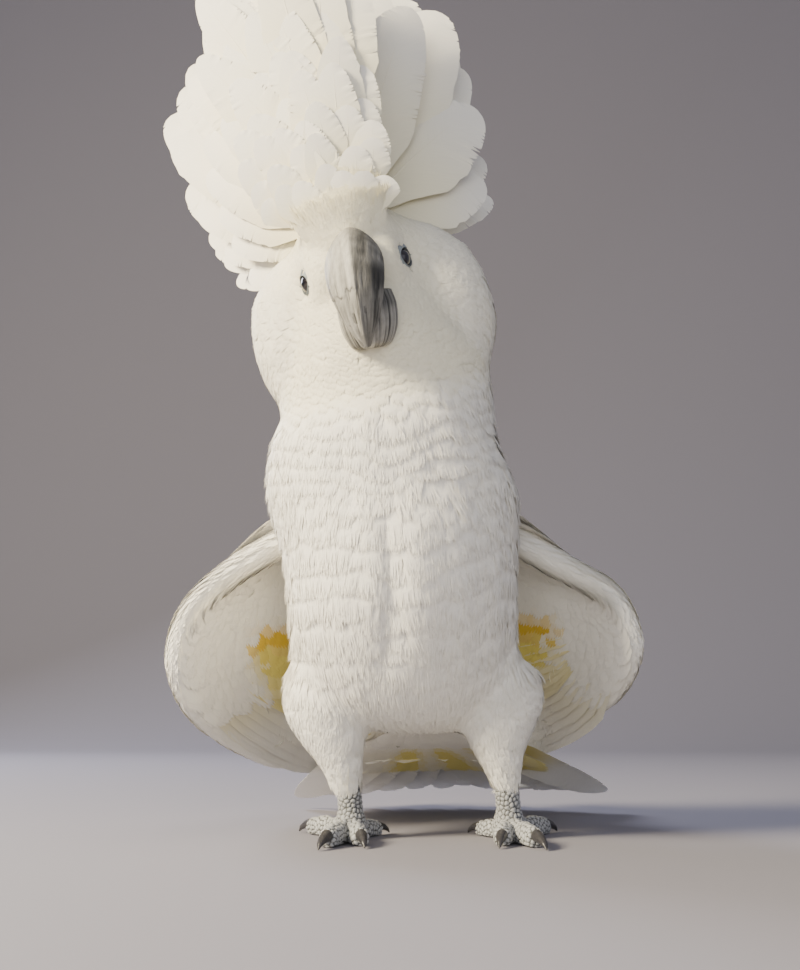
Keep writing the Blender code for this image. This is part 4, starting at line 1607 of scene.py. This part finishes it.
@dataclass
class Flight:
    """The remiges of one wing and the coverts that line it; widths in mm."""

    name: str
    wing: Wing
    skin: Skin
    rng: Chance
    secondaries: int = 12
    primaries: int = 5
    outer: int = 6
    narrow: float = 23.0
    broad: float = 25.0

    def blade(self, start: tuple, end: tuple, width: float, layer: float, inner: float,
              curve: float = 0.0) -> Blade:
        """Draw a feather on the wing's sheet.

        Args:
            start: Its root as u and v.
            end: Its tip as u and v.
            width: Its width.
            layer: How far it lies off the sheet, mm.
            inner: Share of the width on its inner side.
            curve: How far it bows along the wing.

        Returns:
            The feather.
        """
        s = np.linspace(0.0, 1.0, 8)
        u = start[0] + (end[0] - start[0]) * s + curve * s * (1 - s)
        v = start[1] + (end[1] - start[1]) * s
        u, v = np.clip(u, 0.0, 1.0), np.clip(v, 0.0, 1.0)
        normal = self.wing.normal(u, v)
        path = self.wing.surface(u, v) + normal * layer
        across = unit(np.cross(np.gradient(path, axis=0), normal))
        return Blade(path, unit(normal + 0.17 * self.wing.side * across), width, inner, 2.8, 5,
                     thickness=0.4, camber=0.12, wide_from=0.22)

    def lining(self) -> Feathers:
        """Under-coverts: white by the shoulder, a golden wedge, then lemon over the roots of the quills."""
        rng = self.rng
        u, v = strewn(rng, np.arange(0.01, 0.52, 0.032), np.arange(0.03, 0.95, 0.040), (0.008, 0.008))
        below = -self.wing.normal(u, v)
        ahead = np.minimum(u + 0.095, 1.0), np.minimum(v + 0.05, 1.0)
        half = 0.5 * (u + ahead[0]), 0.5 * (v + ahead[1])

        def place(u: Array, v: Array, out: float) -> Array:
            """Places below the sheet, lower near the leading edge."""
            lower = out + (3.2 - 3.0 * u) * smooth_step(0.34, 0.04, v)
            return self.wing.surface(u, v) - self.wing.normal(u, v) * lower[:, None]

        places = [place(u, v, 2.2), place(*half, 4.2), place(*ahead, 4.7)]
        inner = smooth_step(0.34, 0.44, v + rng.normal(0, 0.02, len(v)))
        gold = np.exp(-(((u - 0.33 + 0.05 * (v - 0.5)) / 0.035) ** 2)) * inner
        lemon = smooth_step(0.32, 0.38, u) * inner * (1.0 - 0.5 * smooth_step(0.44, 0.52, u))
        lemon += 0.55 * smooth_step(0.52, 0.72, v) * smooth_step(0.16, 0.30, u)
        tint = mixed(Tone.WHITE.rgb, Tone.LEMON.rgb, np.clip(lemon, 0, 1))
        tint = mixed(tint, Tone.GOLD.rgb, np.clip(1.25 * gold, 0, 1))
        bake = np.stack((0.02 + 0.42 * v, 0.02 + 0.9 * u / 0.53), 1)
        return Feathers(*places, below, below, rng.uniform(10.5, 13.0, len(u)), tint, bake)

    def rim(self) -> Feathers:
        """Small coverts wrapped round the leading edge, pointing to the wing's tip."""
        rng = self.rng
        turns = np.radians(np.arange(-128, 129, 16))
        u, turn = strewn(rng, np.arange(0.0, 0.74, 0.0125), turns, (0.004, 0.08))

        def place(u: Array, out: float) -> tuple[Array, Array]:
            """Places round the edge and the direction away from it."""
            u = np.clip(u, 0.0, 0.99)
            middle, normal = self.wing.surface(u, 0 * u + 0.05), self.wing.normal(u, 0 * u + 0.05)
            outward = unit(self.wing.surface(u, 0 * u) - self.wing.surface(u, 0 * u + 0.15))
            facing = outward * np.cos(turn)[:, None] + normal * np.sin(turn)[:, None]
            return middle + facing * (6.2 - 4.2 * u + out)[:, None], facing

        (root, normal), (middle, _), (tip, tip_normal) = (place(u + step, out) for step, out in (
            (0.0, 0.2), (0.024, 1.1), (0.048, 1.5)))
        bake = np.stack((0.86 + 0.12 * (turn + 2.5) / 5.0, 0.02 + 0.9 * u / 0.75), 1)
        tint = np.broadcast_to(Tone.WHITE.rgb, root.shape)
        return Feathers(root, middle, tip, normal, tip_normal, rng.uniform(5.5, 7.5, len(u)), tint, bake)

    def coverts(self) -> Feathers:
        """Rows of coverts on the upper side, over the roots of the quills."""
        rng = self.rng
        rows = np.array((0.16, 0.24, 0.32, 0.40, 0.47))
        u, v = np.meshgrid(np.arange(0.0, 0.86, 0.024), rows, indexing="ij")
        v = v + 0.06 * (1 - u)
        u, v = (u + rng.normal(0, 0.004, u.shape)).ravel(), (v + rng.normal(0, 0.005, v.shape)).ravel()
        normal = self.wing.normal(u, v)
        steps = ((0.0, 0.0, 3.6), (0.03, 0.09, 5.2), (0.06, 0.18, 4.8))
        places = [self.wing.surface(np.minimum(u + du, 1.0), v + dv) + normal * h for du, dv, h in steps]
        bake = np.stack((0.52 + 0.8 * (v - 0.12), 0.02 + 0.9 * u / 0.86), 1)
        tint = np.broadcast_to(Tone.WHITE.rgb, places[0].shape)
        return Feathers(*places, normal, normal, rng.uniform(11.0, 14.0, len(u)), tint, bake)

    def scapulars(self) -> Feathers:
        """Longer feathers from the back and shoulder, over the root of the wing."""
        rng, wing = self.rng, self.wing
        grids = np.meshgrid(np.arange(0.10, 1.6, 0.06), np.arange(3.0), indexing="ij")
        v, row = (grid.ravel() for grid in grids)
        v = v + rng.normal(0, 0.015, v.shape)
        inside, past = np.clip(v, 0.0, 1.0), np.maximum(v - 1.0, 0.0)
        above = np.stack((-wing.side * (5 + 7 * row + 26 * past), 8 * past, 15 + 3 * row), 1)
        start = wing.surface(0 * v, inside) + above
        found = [self.skin.tree.find_nearest(Vector(place)) for place in start]
        root, normal = np.array([hit[0] for hit in found]), np.array([hit[1] for hit in found])
        u = 0.13 - 0.03 * row + 0.26 * past
        top = wing.normal(u, inside)
        tip = wing.surface(u, inside) + top * (7.0 + row)[:, None]
        middle = 0.5 * (root + tip) + wing.outward * 4.0
        bake = np.stack((0.02 + 0.28 * (v + 0.15), 0.92 + 0.02 * row), 1)
        tint = np.broadcast_to(Tone.WHITE.rgb, root.shape)
        width = rng.uniform(13.0, 17.0, len(u))
        return Feathers(root, middle, tip, unit(normal + wing.outward), top, width, tint, bake)

    def build(self, material: bpy.types.Material, small: bpy.types.Material) -> None:
        """Make the arm's and the hand's feathers.

        Args:
            material: The quills' finish.
            small: The coverts' finish.
        """
        secondaries, primaries, tips = [], [], []
        for t in (k / (self.secondaries - 1) for k in range(self.secondaries)):
            start, end = (0.02 + 0.33 * t, 0.20), (0.14 + 0.44 * t, 1.0)
            blade = self.blade(start, end, self.narrow, 1.6 - 3.0 * t, 0.42)
            secondaries.append((blade, white_with_painted_shade, washed(0.95, 0.95, 0.15)))
        for t in (k / (self.primaries - 1) for k in range(self.primaries)):
            start, end = (0.37 + 0.02 * t, 0.24), (0.62 + 0.24 * t, 1.0 - 0.03 * t)
            blade = self.blade(start, end, self.broad, -1.2 - 1.0 * t, 0.38, 0.05)
            primaries.append((blade, white_with_painted_shade, washed(0.85, 0.9)))
        for t in (k / (self.outer - 1) for k in range(self.outer)):
            start = (0.40 + 0.015 * t, 0.22 - 0.08 * t)
            end = (0.93 + 0.06 * t - 0.05 * t * t, 0.92 - 0.80 * t)
            blade = self.blade(start, end, self.narrow, -2.2 - 1.2 * t, 0.30, 0.04 * (1 - t))
            tips.append((blade, white_with_painted_shade, washed(0.4, 0.5)))
        stem = f"wing_{self.name}_"
        for quills, slot, node, blades in (("secondary", "yellow_vane", "secondaries", secondaries),
                                           ("primary", "yellow_vane", "primaries", primaries),
                                           ("outer", "vane", "tips", tips)):
            Quills(f"{stem}{quills}_quills", slot, (stem + node,), blades).build(self.rng, material)
        sets = (self.lining(), self.rim(), self.coverts(), self.scapulars())
        tufts = joined([feathers.shaped(Look.FIRM.value, self.rng) for feathers in sets])
        adopt_tufts(f"coverts_{self.name}", tufts, small)


@dataclass
class Tail:
    """The tail quills and the coverts below them."""

    rng: Chance
    count: int = 12
    width: float = 27.0  # mm

    def build(self, material: bpy.types.Material, small: bpy.types.Material) -> None:
        """Make the quills, the middle pair on top, and the coverts below them.

        Args:
            material: The quills' finish.
            small: The coverts' finish.
        """
        blades = []
        for k in range(self.count):
            u = (k + 0.5) / self.count
            s = np.linspace(0.12, self.rng.uniform(0.95, 1.0), 7)
            path = tail_point(np.full(7, u), s)
            over = 1.8 - 3.4 * abs(u - 0.5) * 2
            facing = np.zeros((7, 3)) + (-0.25 * (u - 0.5), 0.36, 0.93)
            path = path + unit(facing) * over
            blades.append((Blade(path, facing, self.width, 0.5 + 0.14 * np.sign(u - 0.5), 4.5, 7, 0.4, 0.08),
                           white_with_painted_shade, washed(0.9, 0.66, 0.1)))
        Quills("tail_plumes", "vane", ("tail_quills",), blades).build(self.rng, material)
        adopt_tufts("under_tail", self.lining().shaped(Look.FIRM.value, self.rng), small)

    def lining(self) -> Feathers:
        """Under-tail coverts, white with lemon tips."""
        rng = self.rng
        u, v = strewn(rng, np.arange(0.02, 0.99, 0.036), np.arange(-0.06, 0.40, 0.055), (0.008, 0.010))
        down = np.broadcast_to(unit(np.array((0.0, -0.36, -0.93))), (len(u), 3))

        def place(v: Array, out: float) -> Array:
            """Places below the fan."""
            thick = 1.0 + 8.0 * np.maximum(1 - v, 0.0) ** 2.2
            return tail_point(u, v) + down * (thick + 1.6 + out)[:, None]

        patches = sum(np.exp(-(((u - middle) / 0.075) ** 2)) for middle in (0.34, 0.60, 0.90))
        yellow = np.clip(0.15 + 1.2 * patches, 0, 1) * smooth_step(-0.02, 0.10, v)
        tint = mixed(Tone.WHITE.rgb, Tone.LEMON.rgb, yellow)
        bake = np.stack((0.02 + 0.96 * u, 0.16 + 1.9 * v), 1)
        return Feathers(place(v, 0.4), place(v + 0.09, 1.8), place(v + 0.18, 2.2), down, down,
                        rng.uniform(11.0, 14.0, len(u)), tint, bake)


# ---- bill
def rough_noise(points: Array, scale: float, seed: int) -> Array:
    """Smooth noise as a sum of crossed waves.

    Args:
        points: Places.
        scale: Rough distance between crests.
        seed: Which noise.

    Returns:
        Values from about -1 to 1.
    """
    rng = np.random.default_rng(seed)
    total = np.zeros(points.shape[:-1])
    for _ in range(9):
        wave = rng.normal(size=3) * 2.0 / scale
        total += np.sin((points * wave).sum(-1) + rng.uniform(0, 6.28))
    return total / 3.6


@dataclass(frozen=True)
class Bill:
    """Hooked upper bill and scooped lower bill, in the head's space."""

    axis: tuple[float, float] = (-37.0, -4.0)  # y and z of the middle of the hook's arc
    start: float = 97.0  # degrees along the arc
    end: float = -45.0
    lean: float = 5.5  # degrees to the bird's left
    pivot: tuple[float, float, float] = (1.0, 0.0, 24.0)
    shift: float = 2.7
    # The hook's outer radius, half width and half depth along the arc.
    hook: Fan = ((31, 12, 14.5), (30.8, 13, 14), (30.4, 13.2, 12.5), (30.5, 13, 10.5), (31.5, 11.8, 8),
                 (32.5, 8.4, 5.0), (33, 2.2, 1.4))
    # The scoop's middle, half width, and depths to the front and the back, from the chin up.
    scoop: tuple = ((0.5, -42, -27, 7, 7, 6), (0.5, -43, -25, 10.5, 10, 9.5), (0.5, -43, -18, 14, 12.5, 11),
                    (0.5, -41, -9, 15, 14, 10), (0.5, -40, -2, 13.5, 12, 10))

    def hung(self, points: Array) -> Array:
        """Working places of points drawn upright: the bill leans a little to the bird's left."""
        pivot = np.array(self.pivot)
        return in_head(pivot + (self.shift, 0, 0) + (points - pivot) @ turned("Y", self.lean).T)

    def upper(self) -> Shape:
        """The hook: a keeled ridge, lengthwise fibres, and a worn edge where old horn flakes off."""
        rows, round_ = 170, 128
        t = np.linspace(0.0, 1.0, rows)[:, None]
        turn = np.linspace(0, 2 * math.pi, round_, endpoint=False)[None, :]
        culmen, width, depth = np.moveaxis(flow(self.hook, t[:, 0]), -1, 0)[:, :, None]
        arc = np.radians(self.start + (self.end - self.start) * t)
        out = np.stack((0 * arc, -np.cos(arc), np.sin(arc)), -1)
        axis = np.stack((0 * arc, self.axis[0] + 0 * arc, self.axis[1] + 0 * arc), -1)
        middle = axis + out * (culmen - depth)[..., None]
        high = np.maximum(np.sin(turn), 0)
        square = 0.66 + 0.34 * smooth_step(0.0, 0.40, t)
        x = width * np.sign(np.cos(turn)) * np.abs(np.cos(turn)) ** square * (1.0 - 0.22 * high**2)
        rise = depth * np.sin(turn) * (1.0 - 0.06 * np.cos(turn) ** 2)
        along = smooth_step(0.0, 0.12, t) * smooth_step(0, 0.12, 1 - t)
        ridge = 1.3 * np.exp(-np.abs((turn - math.pi / 2) / 0.30) ** 1.3) * along
        place = middle + out * (rise + ridge)[..., None]
        place[..., 0] += x
        fibre = rough_noise(spread(turn * 30.0, t * 7.0, 0 * t), 2.0, 3)
        flake = rough_noise(place * (1.0, 1.0, 0.5), 3.4, 4)
        edge = 0.58 + 0.022 * rough_noise(spread(turn * 14.0, 0 * t, 0 * t), 2.2, 12)
        edge = edge + 0.12 * (1.0 - np.cos(turn)) * 0.5
        left = smooth_step(0.05, -0.12, np.cos(turn))
        worn = smooth_step(-0.008, 0.008, t - edge) * left
        chips = np.maximum(flake - 0.15, 0) ** 1.5 * smooth_step(0.42, 0.75, t)
        crack = np.exp(-(((t - edge) / 0.006) ** 2)) * left * smooth_step(-0.4, 0.5, flake)
        crack = np.maximum(crack, smooth_step(0.70, 0.95, -fibre) * smooth_step(0.50, 0.70, t) * 0.8)
        relief = 0.13 * fibre * (0.5 + worn) - 0.40 * worn - 0.35 * crack - 0.30 * chips
        place = place + unit(place - middle) * (relief * np.minimum(depth / 10.0, 1.0))[..., None]
        chalk = 0.74 + 0.20 * fibre + 0.16 * flake - 0.10 * worn
        # painted shade: the bill's left face, turned away from the sun lamp, is painted darker
        shaded = 0.52 * smooth_step(-0.02, 0.22, np.cos(turn)) * smooth_step(0.03, 0.12, t)
        colour = mixed(Tone.SLATE.rgb, Tone.CHALK.rgb, np.clip(chalk - shaded, 0, 1))
        # painted shadow in the gap between the upper and the lower bill, on the bill's left side
        gape_shadow = smooth_step(0.25, 0.75, np.cos(turn)) * band(0.42, 0.55, 0.62, 0.74, t)
        # painted shadow along the base of the bill, where the feathers meet it; the cracks and chips are
        # marks of the horn itself
        dark = 0.75 * crack + 0.8 * gape_shadow + 0.85 * smooth_step(0.03, 0.0, t) + 0.5 * (chips > 0.8)
        colour = mixed(colour, Tone.CRACK.rgb, np.clip(dark, 0, 1))
        points, faces = tube(place)
        return Shape(self.hung(points), faces, capped(colour))

    def lower(self) -> Shape:
        """The scoop below the hook, grooved from chin to edge."""
        rows, round_ = 80, 128
        t = np.linspace(0.0, 1.0, rows)[:, None]
        turn = np.linspace(0, 2 * math.pi, round_, endpoint=False)[None, :]
        x0, y0, z0, half, front, back = np.moveaxis(flow(self.scoop, t[:, 0]), -1, 0)[:, :, None]
        groove = rough_noise(spread(turn * 30.0, t * 1.6, 0 * t), 1.7, 8)
        stretch = 1.0 + 0.026 * groove
        depth = np.where(np.sin(turn) > 0, back, front)
        wide = half * np.cos(turn) * stretch * np.where(np.cos(turn) < 0, 0.78, 1.0)
        place = spread(x0 + wide, y0 + depth * np.sin(turn) * stretch, z0 + 0 * turn)
        chalk = 0.62 + 0.5 * groove - 0.45 * smooth_step(0.35, 0.0, t) * (groove < 0.1)
        chalk = chalk - 0.5 * smooth_step(0.6, 0.8, t)
        colour = mixed(Tone.SLATE.rgb, Tone.CHALK.rgb, np.clip(chalk, 0, 1))
        colour = mixed(colour, Tone.CRACK.rgb, np.clip(smooth_step(0.55, 0.95, -groove) * 0.8, 0, 1))
        points, faces = tube(place)
        return Shape(self.hung(points), faces[:, ::-1], capped(colour))

    def build(self) -> None:
        """Make both halves."""
        material = HORN.build()
        adopt(mesh_object("bill_upper_horn", self.upper(), material), "bill", ("bill_upper",))
        adopt(mesh_object("bill_lower_horn", self.lower(), material), "bill", ("bill_lower",))


# ---- eyes
@dataclass
class Eye:
    """One eye with its lids and a narrow bare ring let into the skin."""

    name: str
    side: float
    skin: Skin
    opening: float = 4.5  # mm from the line of sight to the lids' rim
    ring: float = 8.2  # mm to the edge of the bare ring

    def __post_init__(self) -> None:
        """Set the eye's own directions."""
        self.centre = EYE_PLACE * (self.side, 1, 1)
        self.look = EYE_LOOK * (self.side, 1, 1)
        upright = np.array((0.0, 0.12, 1.0))
        self.up = unit(upright - self.look * (upright @ self.look))
        self.aside = np.cross(self.up, self.look)

    def placed(self, x: Array, y: Array, out: Array) -> Array:
        """Working places from places across, up and outwards along the gaze."""
        local = self.centre + self.aside * x[..., None] + self.up * y[..., None] + self.look * out[..., None]
        return in_head(local)

    def ball(self) -> Shape:
        """Eyeball with a gentle corneal bulge."""
        rows, round_ = 40, 48
        polar = np.linspace(0.02, math.pi - 0.02, rows)[:, None]
        turn = np.linspace(0, 2 * math.pi, round_, endpoint=False)[None, :]
        radius = EYE_RADIUS * (1.0 + 0.05 * np.exp(-((polar / 0.5) ** 2)))
        place = self.placed(radius * np.sin(polar) * np.cos(turn), radius * np.sin(polar) * np.sin(turn),
                            radius * np.cos(polar) + 0 * turn)
        off = np.degrees(polar) + 0 * turn
        colour = mixed(Tone.PUPIL.rgb, Tone.IRIS.rgb, smooth_step(20, 25, off))
        colour = mixed(colour, Tone.LID.rgb * 0.3, smooth_step(44, 50, off))
        points, faces = tube(place)
        return Shape(points, faces if self.side < 0 else faces[:, ::-1], capped(colour))

    def depth_of_skin(self, x: Array, y: Array) -> Array:
        """How far out along the gaze the skin lies at places across and up.

        Args:
            x: Places across.
            y: Places up.

        Returns:
            Distances, mm.
        """
        far = 30.0
        starts = self.placed(x, y, np.full(x.shape, far)).reshape(-1, 3)
        back = Vector(-(HEAD_TURN @ self.look))
        hits = [self.skin.tree.ray_cast(Vector(start), back)[3] for start in starts]
        return far - np.array([far if hit is None else hit for hit in hits]).reshape(x.shape)

    def lids(self) -> Shape:
        """Rolled lid rims and the folded bare ring, drawn down to the skin all round."""
        rows, round_ = 30, 72
        t = np.linspace(0.0, 1.0, rows)[:, None]
        turn = np.linspace(0, 2 * math.pi, round_, endpoint=False)[None, :]
        opening = self.opening + 0.5 * np.abs(np.cos(turn)) ** 6 - 0.5 * np.maximum(np.sin(turn), 0) ** 2
        radial = opening + t**1.1 * (self.ring - opening)
        x, y = radial * np.cos(turn), radial * np.sin(turn)
        dome = np.sqrt((EYE_RADIUS + 0.65) ** 2 - np.minimum(radial, 6.4) ** 2)
        flush = relaxed_ring(self.depth_of_skin(x, y)) + 0.4
        share = smooth_step(5.0, 7.8, radial)
        roll = 0.55 * np.exp(-(((t - 0.09) / 0.09) ** 2)) - 1.0 * np.exp(-((t / 0.035) ** 2))
        folds = 0.16 * np.sin(t * 26.0 + 1.5 * np.sin(turn * 2)) * (1 - t)
        folds = folds + 0.08 * np.sin(turn * 23.0) * t * (1 - t)
        cover = np.sqrt(np.maximum((EYE_RADIUS + 0.45) ** 2 - radial**2, 0.0))
        out = np.maximum(dome * (1 - share) + flush * share, cover) + roll + folds
        LOG.info("eye %s: skin at %.1f, lid rim at %.1f mm", self.name, flush.mean(), out[2].mean())
        place = self.placed(x, y, out)
        colour = mixed(Tone.LID.rgb, Tone.RING.rgb, smooth_step(0.03, 0.16, t) + 0 * turn)
        inner = self.placed(0.95 * x[:1], 0.95 * y[:1], out[:1] - 1.6)
        outer = self.placed(x[-1:], y[-1:], out[-1:] - 3.0)
        rings = np.concatenate((inner, place, outer))
        tints = np.concatenate((colour[:1], colour, colour[-1:])).reshape(-1, 3)
        faces = split_quads(grid_faces(len(rings), round_, wrap=True, loop=True))
        return Shape(rings.reshape(-1, 3), faces[:, ::-1] if self.side < 0 else faces, tints)

    def build(self, wet: bpy.types.Material, bare: bpy.types.Material) -> None:
        """Make the eyeball and the lids."""
        adopt(mesh_object(f"eyeball_{self.name}", self.ball(), wet), "eye", (f"eye_{self.name}",))
        adopt(mesh_object(f"lids_{self.name}", self.lids(), bare), "eye")


def relaxed_ring(values: Array) -> Array:
    """Even values out.

    Args:
        values: One for each point of the rings.

    Returns:
        Means with their neighbours round and along the rings.
    """
    for _ in range(6):
        values = 0.5 * values + 0.25 * (np.roll(values, 1, 1) + np.roll(values, -1, 1))
        values[1:-1] = 0.5 * values[1:-1] + 0.25 * (values[:-2] + values[2:])
    return values


# ---- feet
@dataclass
class Feet:
    """Bare scaled shanks and toes, and their claws; sizes in mm."""

    nodes: dict
    rng: Chance
    voxel: float = 0.58
    claw_voxel: float = 0.45
    flat: float = 0.5  # height above the floor left free of scales

    def scaled(self, side: str) -> Shape:
        """Foot and shank of one side with pebbled scales in relief.

        Args:
            side: Left or right.

        Returns:
            The shape.
        """
        rough = node_arrays(self.nodes, (f"foot_{side}", f"shank_{side}"), 0.2)
        points, faces = remeshed(*rough, self.voxel)
        edges = edges_of(faces)
        points = relaxed(points, edges, 6)
        normals = point_normals(points, faces)
        order = self.rng.permutation(len(points))
        places = points[order]
        gap = 1.75 + 0.5 * smooth_step(0.2, 0.9, normals[order][:, 2]) * (places[:, 2] < 16)
        centres = places[Coat.thinned(places, gap)]
        tree = KDTree(len(centres))
        for index, centre in enumerate(centres):
            tree.insert(centre, index)
        tree.balance()
        near = np.array([[hit[2] for hit in tree.find_n(p, 2)] for p in points])
        raised = smooth_step(0.14, 0.80, near[:, 1] - near[:, 0])
        lift = 0.60 * raised + 0.10 * (1 - np.minimum(near[:, 0], 1))
        lift = lift * smooth_step(0.0, 0.8, points[:, 2] - self.flat)
        moved = points + normals * (lift - 0.12)[:, None]
        moved[:, 2] = np.maximum(moved[:, 2], 0.0)
        colour = mixed(Tone.GROOVE.rgb, Tone.SCALE.rgb, np.clip(raised * 1.25, 0, 1))
        colour = colour * (1.0 + 0.10 * rough_noise(points, 9.0, 5)[:, None])
        return Shape(moved, faces, np.clip(colour, 0, 1))

    def claws(self) -> Shape:
        """All the claws, smoothed."""
        names = tuple(n for n in self.nodes if n.startswith("claw_"))
        points, faces = remeshed(*node_arrays(self.nodes, names), self.claw_voxel)
        points = relaxed(points, edges_of(faces), 3)
        points[:, 2] = np.maximum(points[:, 2], 0.0)
        return Shape(points, faces, np.broadcast_to(Tone.CLAW.rgb, points.shape))

    def build(self) -> None:
        """Make both feet and the claws."""
        material = SCALES.build()
        for side in SIDES:
            adopt(mesh_object(f"scaled_foot_{side}", self.scaled(side), material), "foot_skin",
                  (f"foot_{side}", f"shank_{side}"))
        names = tuple(n for n in self.nodes if n.startswith("claw_"))
        adopt(mesh_object("claws", self.claws(), CLAWS.build()), "claw", names)


# ---- stage, light and camera
@dataclass(frozen=True)
class Lamp:
    """A rectangular lamp aimed at the bird; places in metres."""

    name: str
    place: tuple[float, float, float]
    size: float
    watts: float
    colour: str

    def build(self) -> None:
        """Hang the lamp."""
        light = bpy.data.lights.new(self.name, "AREA")
        light.size, light.energy, light.color = self.size, self.watts, linear(self.colour)
        lamp = bpy.data.objects.new(self.name, light)
        lamp.location = self.place
        aim = Vector((0.0, -0.03, 0.2)) - Vector(self.place)
        lamp.rotation_euler = aim.to_track_quat("-Z", "Y").to_euler()
        bpy.context.scene.collection.objects.link(lamp)


LAMPS = (
    Lamp("sun window", (-1.2, -0.8, 0.85), 0.45, 80.0, "#FFEFCD"),
    Lamp("room fill", (1.1, -1.2, 0.5), 1.2, 3.0, "#E3E6F4"),
    Lamp("low fill", (-0.1, -1.3, 0.10), 0.9, 10.0, "#F4F1EA"),
    Lamp("back window", (-0.9, 0.9, 0.9), 0.6, 22.0, "#E9ECFF"),
)


@dataclass(frozen=True)
class Sweep:
    """A seamless floor and backdrop of matt grey paper; far out, beyond the lamps' reach, it is painted near
    white, painted light that stands in for the light the lamps don't give there; metres.
    """

    near: str = "#8A8890"
    # painted light: the paper's tone far out, where no lamp lights it
    far: str = "#F4F4F6"
    fade: tuple[float, float] = (1.3, 4.0)  # to the front and the sides
    reach: float = 30.0
    start: float = 1.2  # where it begins to rise behind the bird
    bend: float = 0.8
    top: float = 4.0

    def paper(self) -> bpy.types.Material:
        """Make the material."""
        shader = Shader("sweep paper", roughness=0.9)
        x, y, _ = shader.add("ShaderNodeSeparateXYZ", {0: shader.add("ShaderNodeTexCoord")["Object"]})
        aside = shader.add("ShaderNodeMath", {0: x}, operation="ABSOLUTE")[0]
        ahead = shader.add("ShaderNodeMath", {0: y}, {1: -1.0}, operation="MULTIPLY")[0]
        out = shader.add("ShaderNodeMath", {0: aside, 1: ahead}, operation="MAXIMUM")[0]
        ends = dict(zip(("From Min", "From Max"), self.fade))
        share = shader.add("ShaderNodeMapRange", {"Value": out}, ends)["Result"]
        colours = {6: (*linear(self.near), 1.0), 7: (*linear(self.far), 1.0)}
        return shader.finish(shader.add("ShaderNodeMix", {0: share}, colours, data_type="RGBA")[2])

    def build(self) -> None:
        """Lay the paper out."""
        profile = [(-self.reach, 0.0), (self.start, 0.0)]
        profile += [(self.start + self.bend * math.sin(a), self.bend - self.bend * math.cos(a))
                    for a in np.linspace(0.1, math.pi / 2, 16)]
        profile.append((self.start + self.bend, self.top))
        points = [(x, y, z) for y, z in profile for x in (-self.reach, self.reach)]
        faces = [(2 * k, 2 * k + 1, 2 * k + 3, 2 * k + 2) for k in range(len(profile) - 1)]
        mesh = bpy.data.meshes.new("sweep")
        mesh.from_pydata(points, [], faces)
        mesh.polygons.foreach_set("use_smooth", [True] * len(faces))
        mesh.materials.append(self.paper())
        sweep = bpy.data.objects.new("sweep", mesh)
        bpy.context.scene.collection.objects.link(sweep)


def build_world() -> None:
    """Give the room its dim light."""
    world = bpy.data.worlds.new("room")
    world.use_nodes = True
    background = world.node_tree.nodes["Background"]
    background.inputs["Color"].default_value = (*linear("#C9CCE0"), 1.0)
    background.inputs["Strength"].default_value = 0.52
    bpy.context.scene.world = world


@dataclass(frozen=True)
class Viewpoint:
    """A low camera in front of the bird, looking slightly up."""

    place: tuple[float, float, float] = (-0.00155, -0.6443, 0.062)  # metres
    lens: float = 44.54  # mm
    sensor: float = 36.0
    tilt: float = 100.6  # degrees from looking straight down

    def build(self) -> None:
        """Set the camera up."""
        data = bpy.data.cameras.new("camera")
        data.sensor_width, data.lens = self.sensor, self.lens
        camera = bpy.data.objects.new("camera", data)
        camera.location = self.place
        camera.rotation_euler = (math.radians(self.tilt), 0.0, 0.0)
        bpy.context.scene.collection.objects.link(camera)
        bpy.context.scene.camera = camera


def main() -> None:
    """Build the whole model."""
    logging.basicConfig(level=logging.INFO, format="%(name)s %(message)s")
    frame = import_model()
    nodes = frame["nodes"]
    rng = np.random.default_rng(SEED)
    skin = Skin(nodes)
    skin.build()
    small = Plumage("small feathers", 0.7, 0.9, 0.00008, 0.96).build()
    vane = Plumage("large feathers", 0.6, 1.0, 0.00005, 0.965).build()
    Coat(skin, rng).build(small)
    Crest(rng).build(vane)
    for name, wing in WINGS.items():
        Flight(name, wing, skin, rng).build(vane, small)
    Tail(rng).build(vane, small)
    Bill().build()
    wet, bare = WetEye().build(), LIDS.build()
    for name, side in SIDES.items():
        Eye(name, side, skin).build(wet, bare)
    Feet(nodes, rng).build()
    Sweep().build()
    build_world()
    for lamp in LAMPS:
        lamp.build()
    Viewpoint().build()
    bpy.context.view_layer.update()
    total = sum(len(thing.data.loop_triangles) for thing in bpy.data.objects if thing.type == "MESH")
    LOG.info("%d triangles in all", total)


if __name__ == "__main__":
    main()
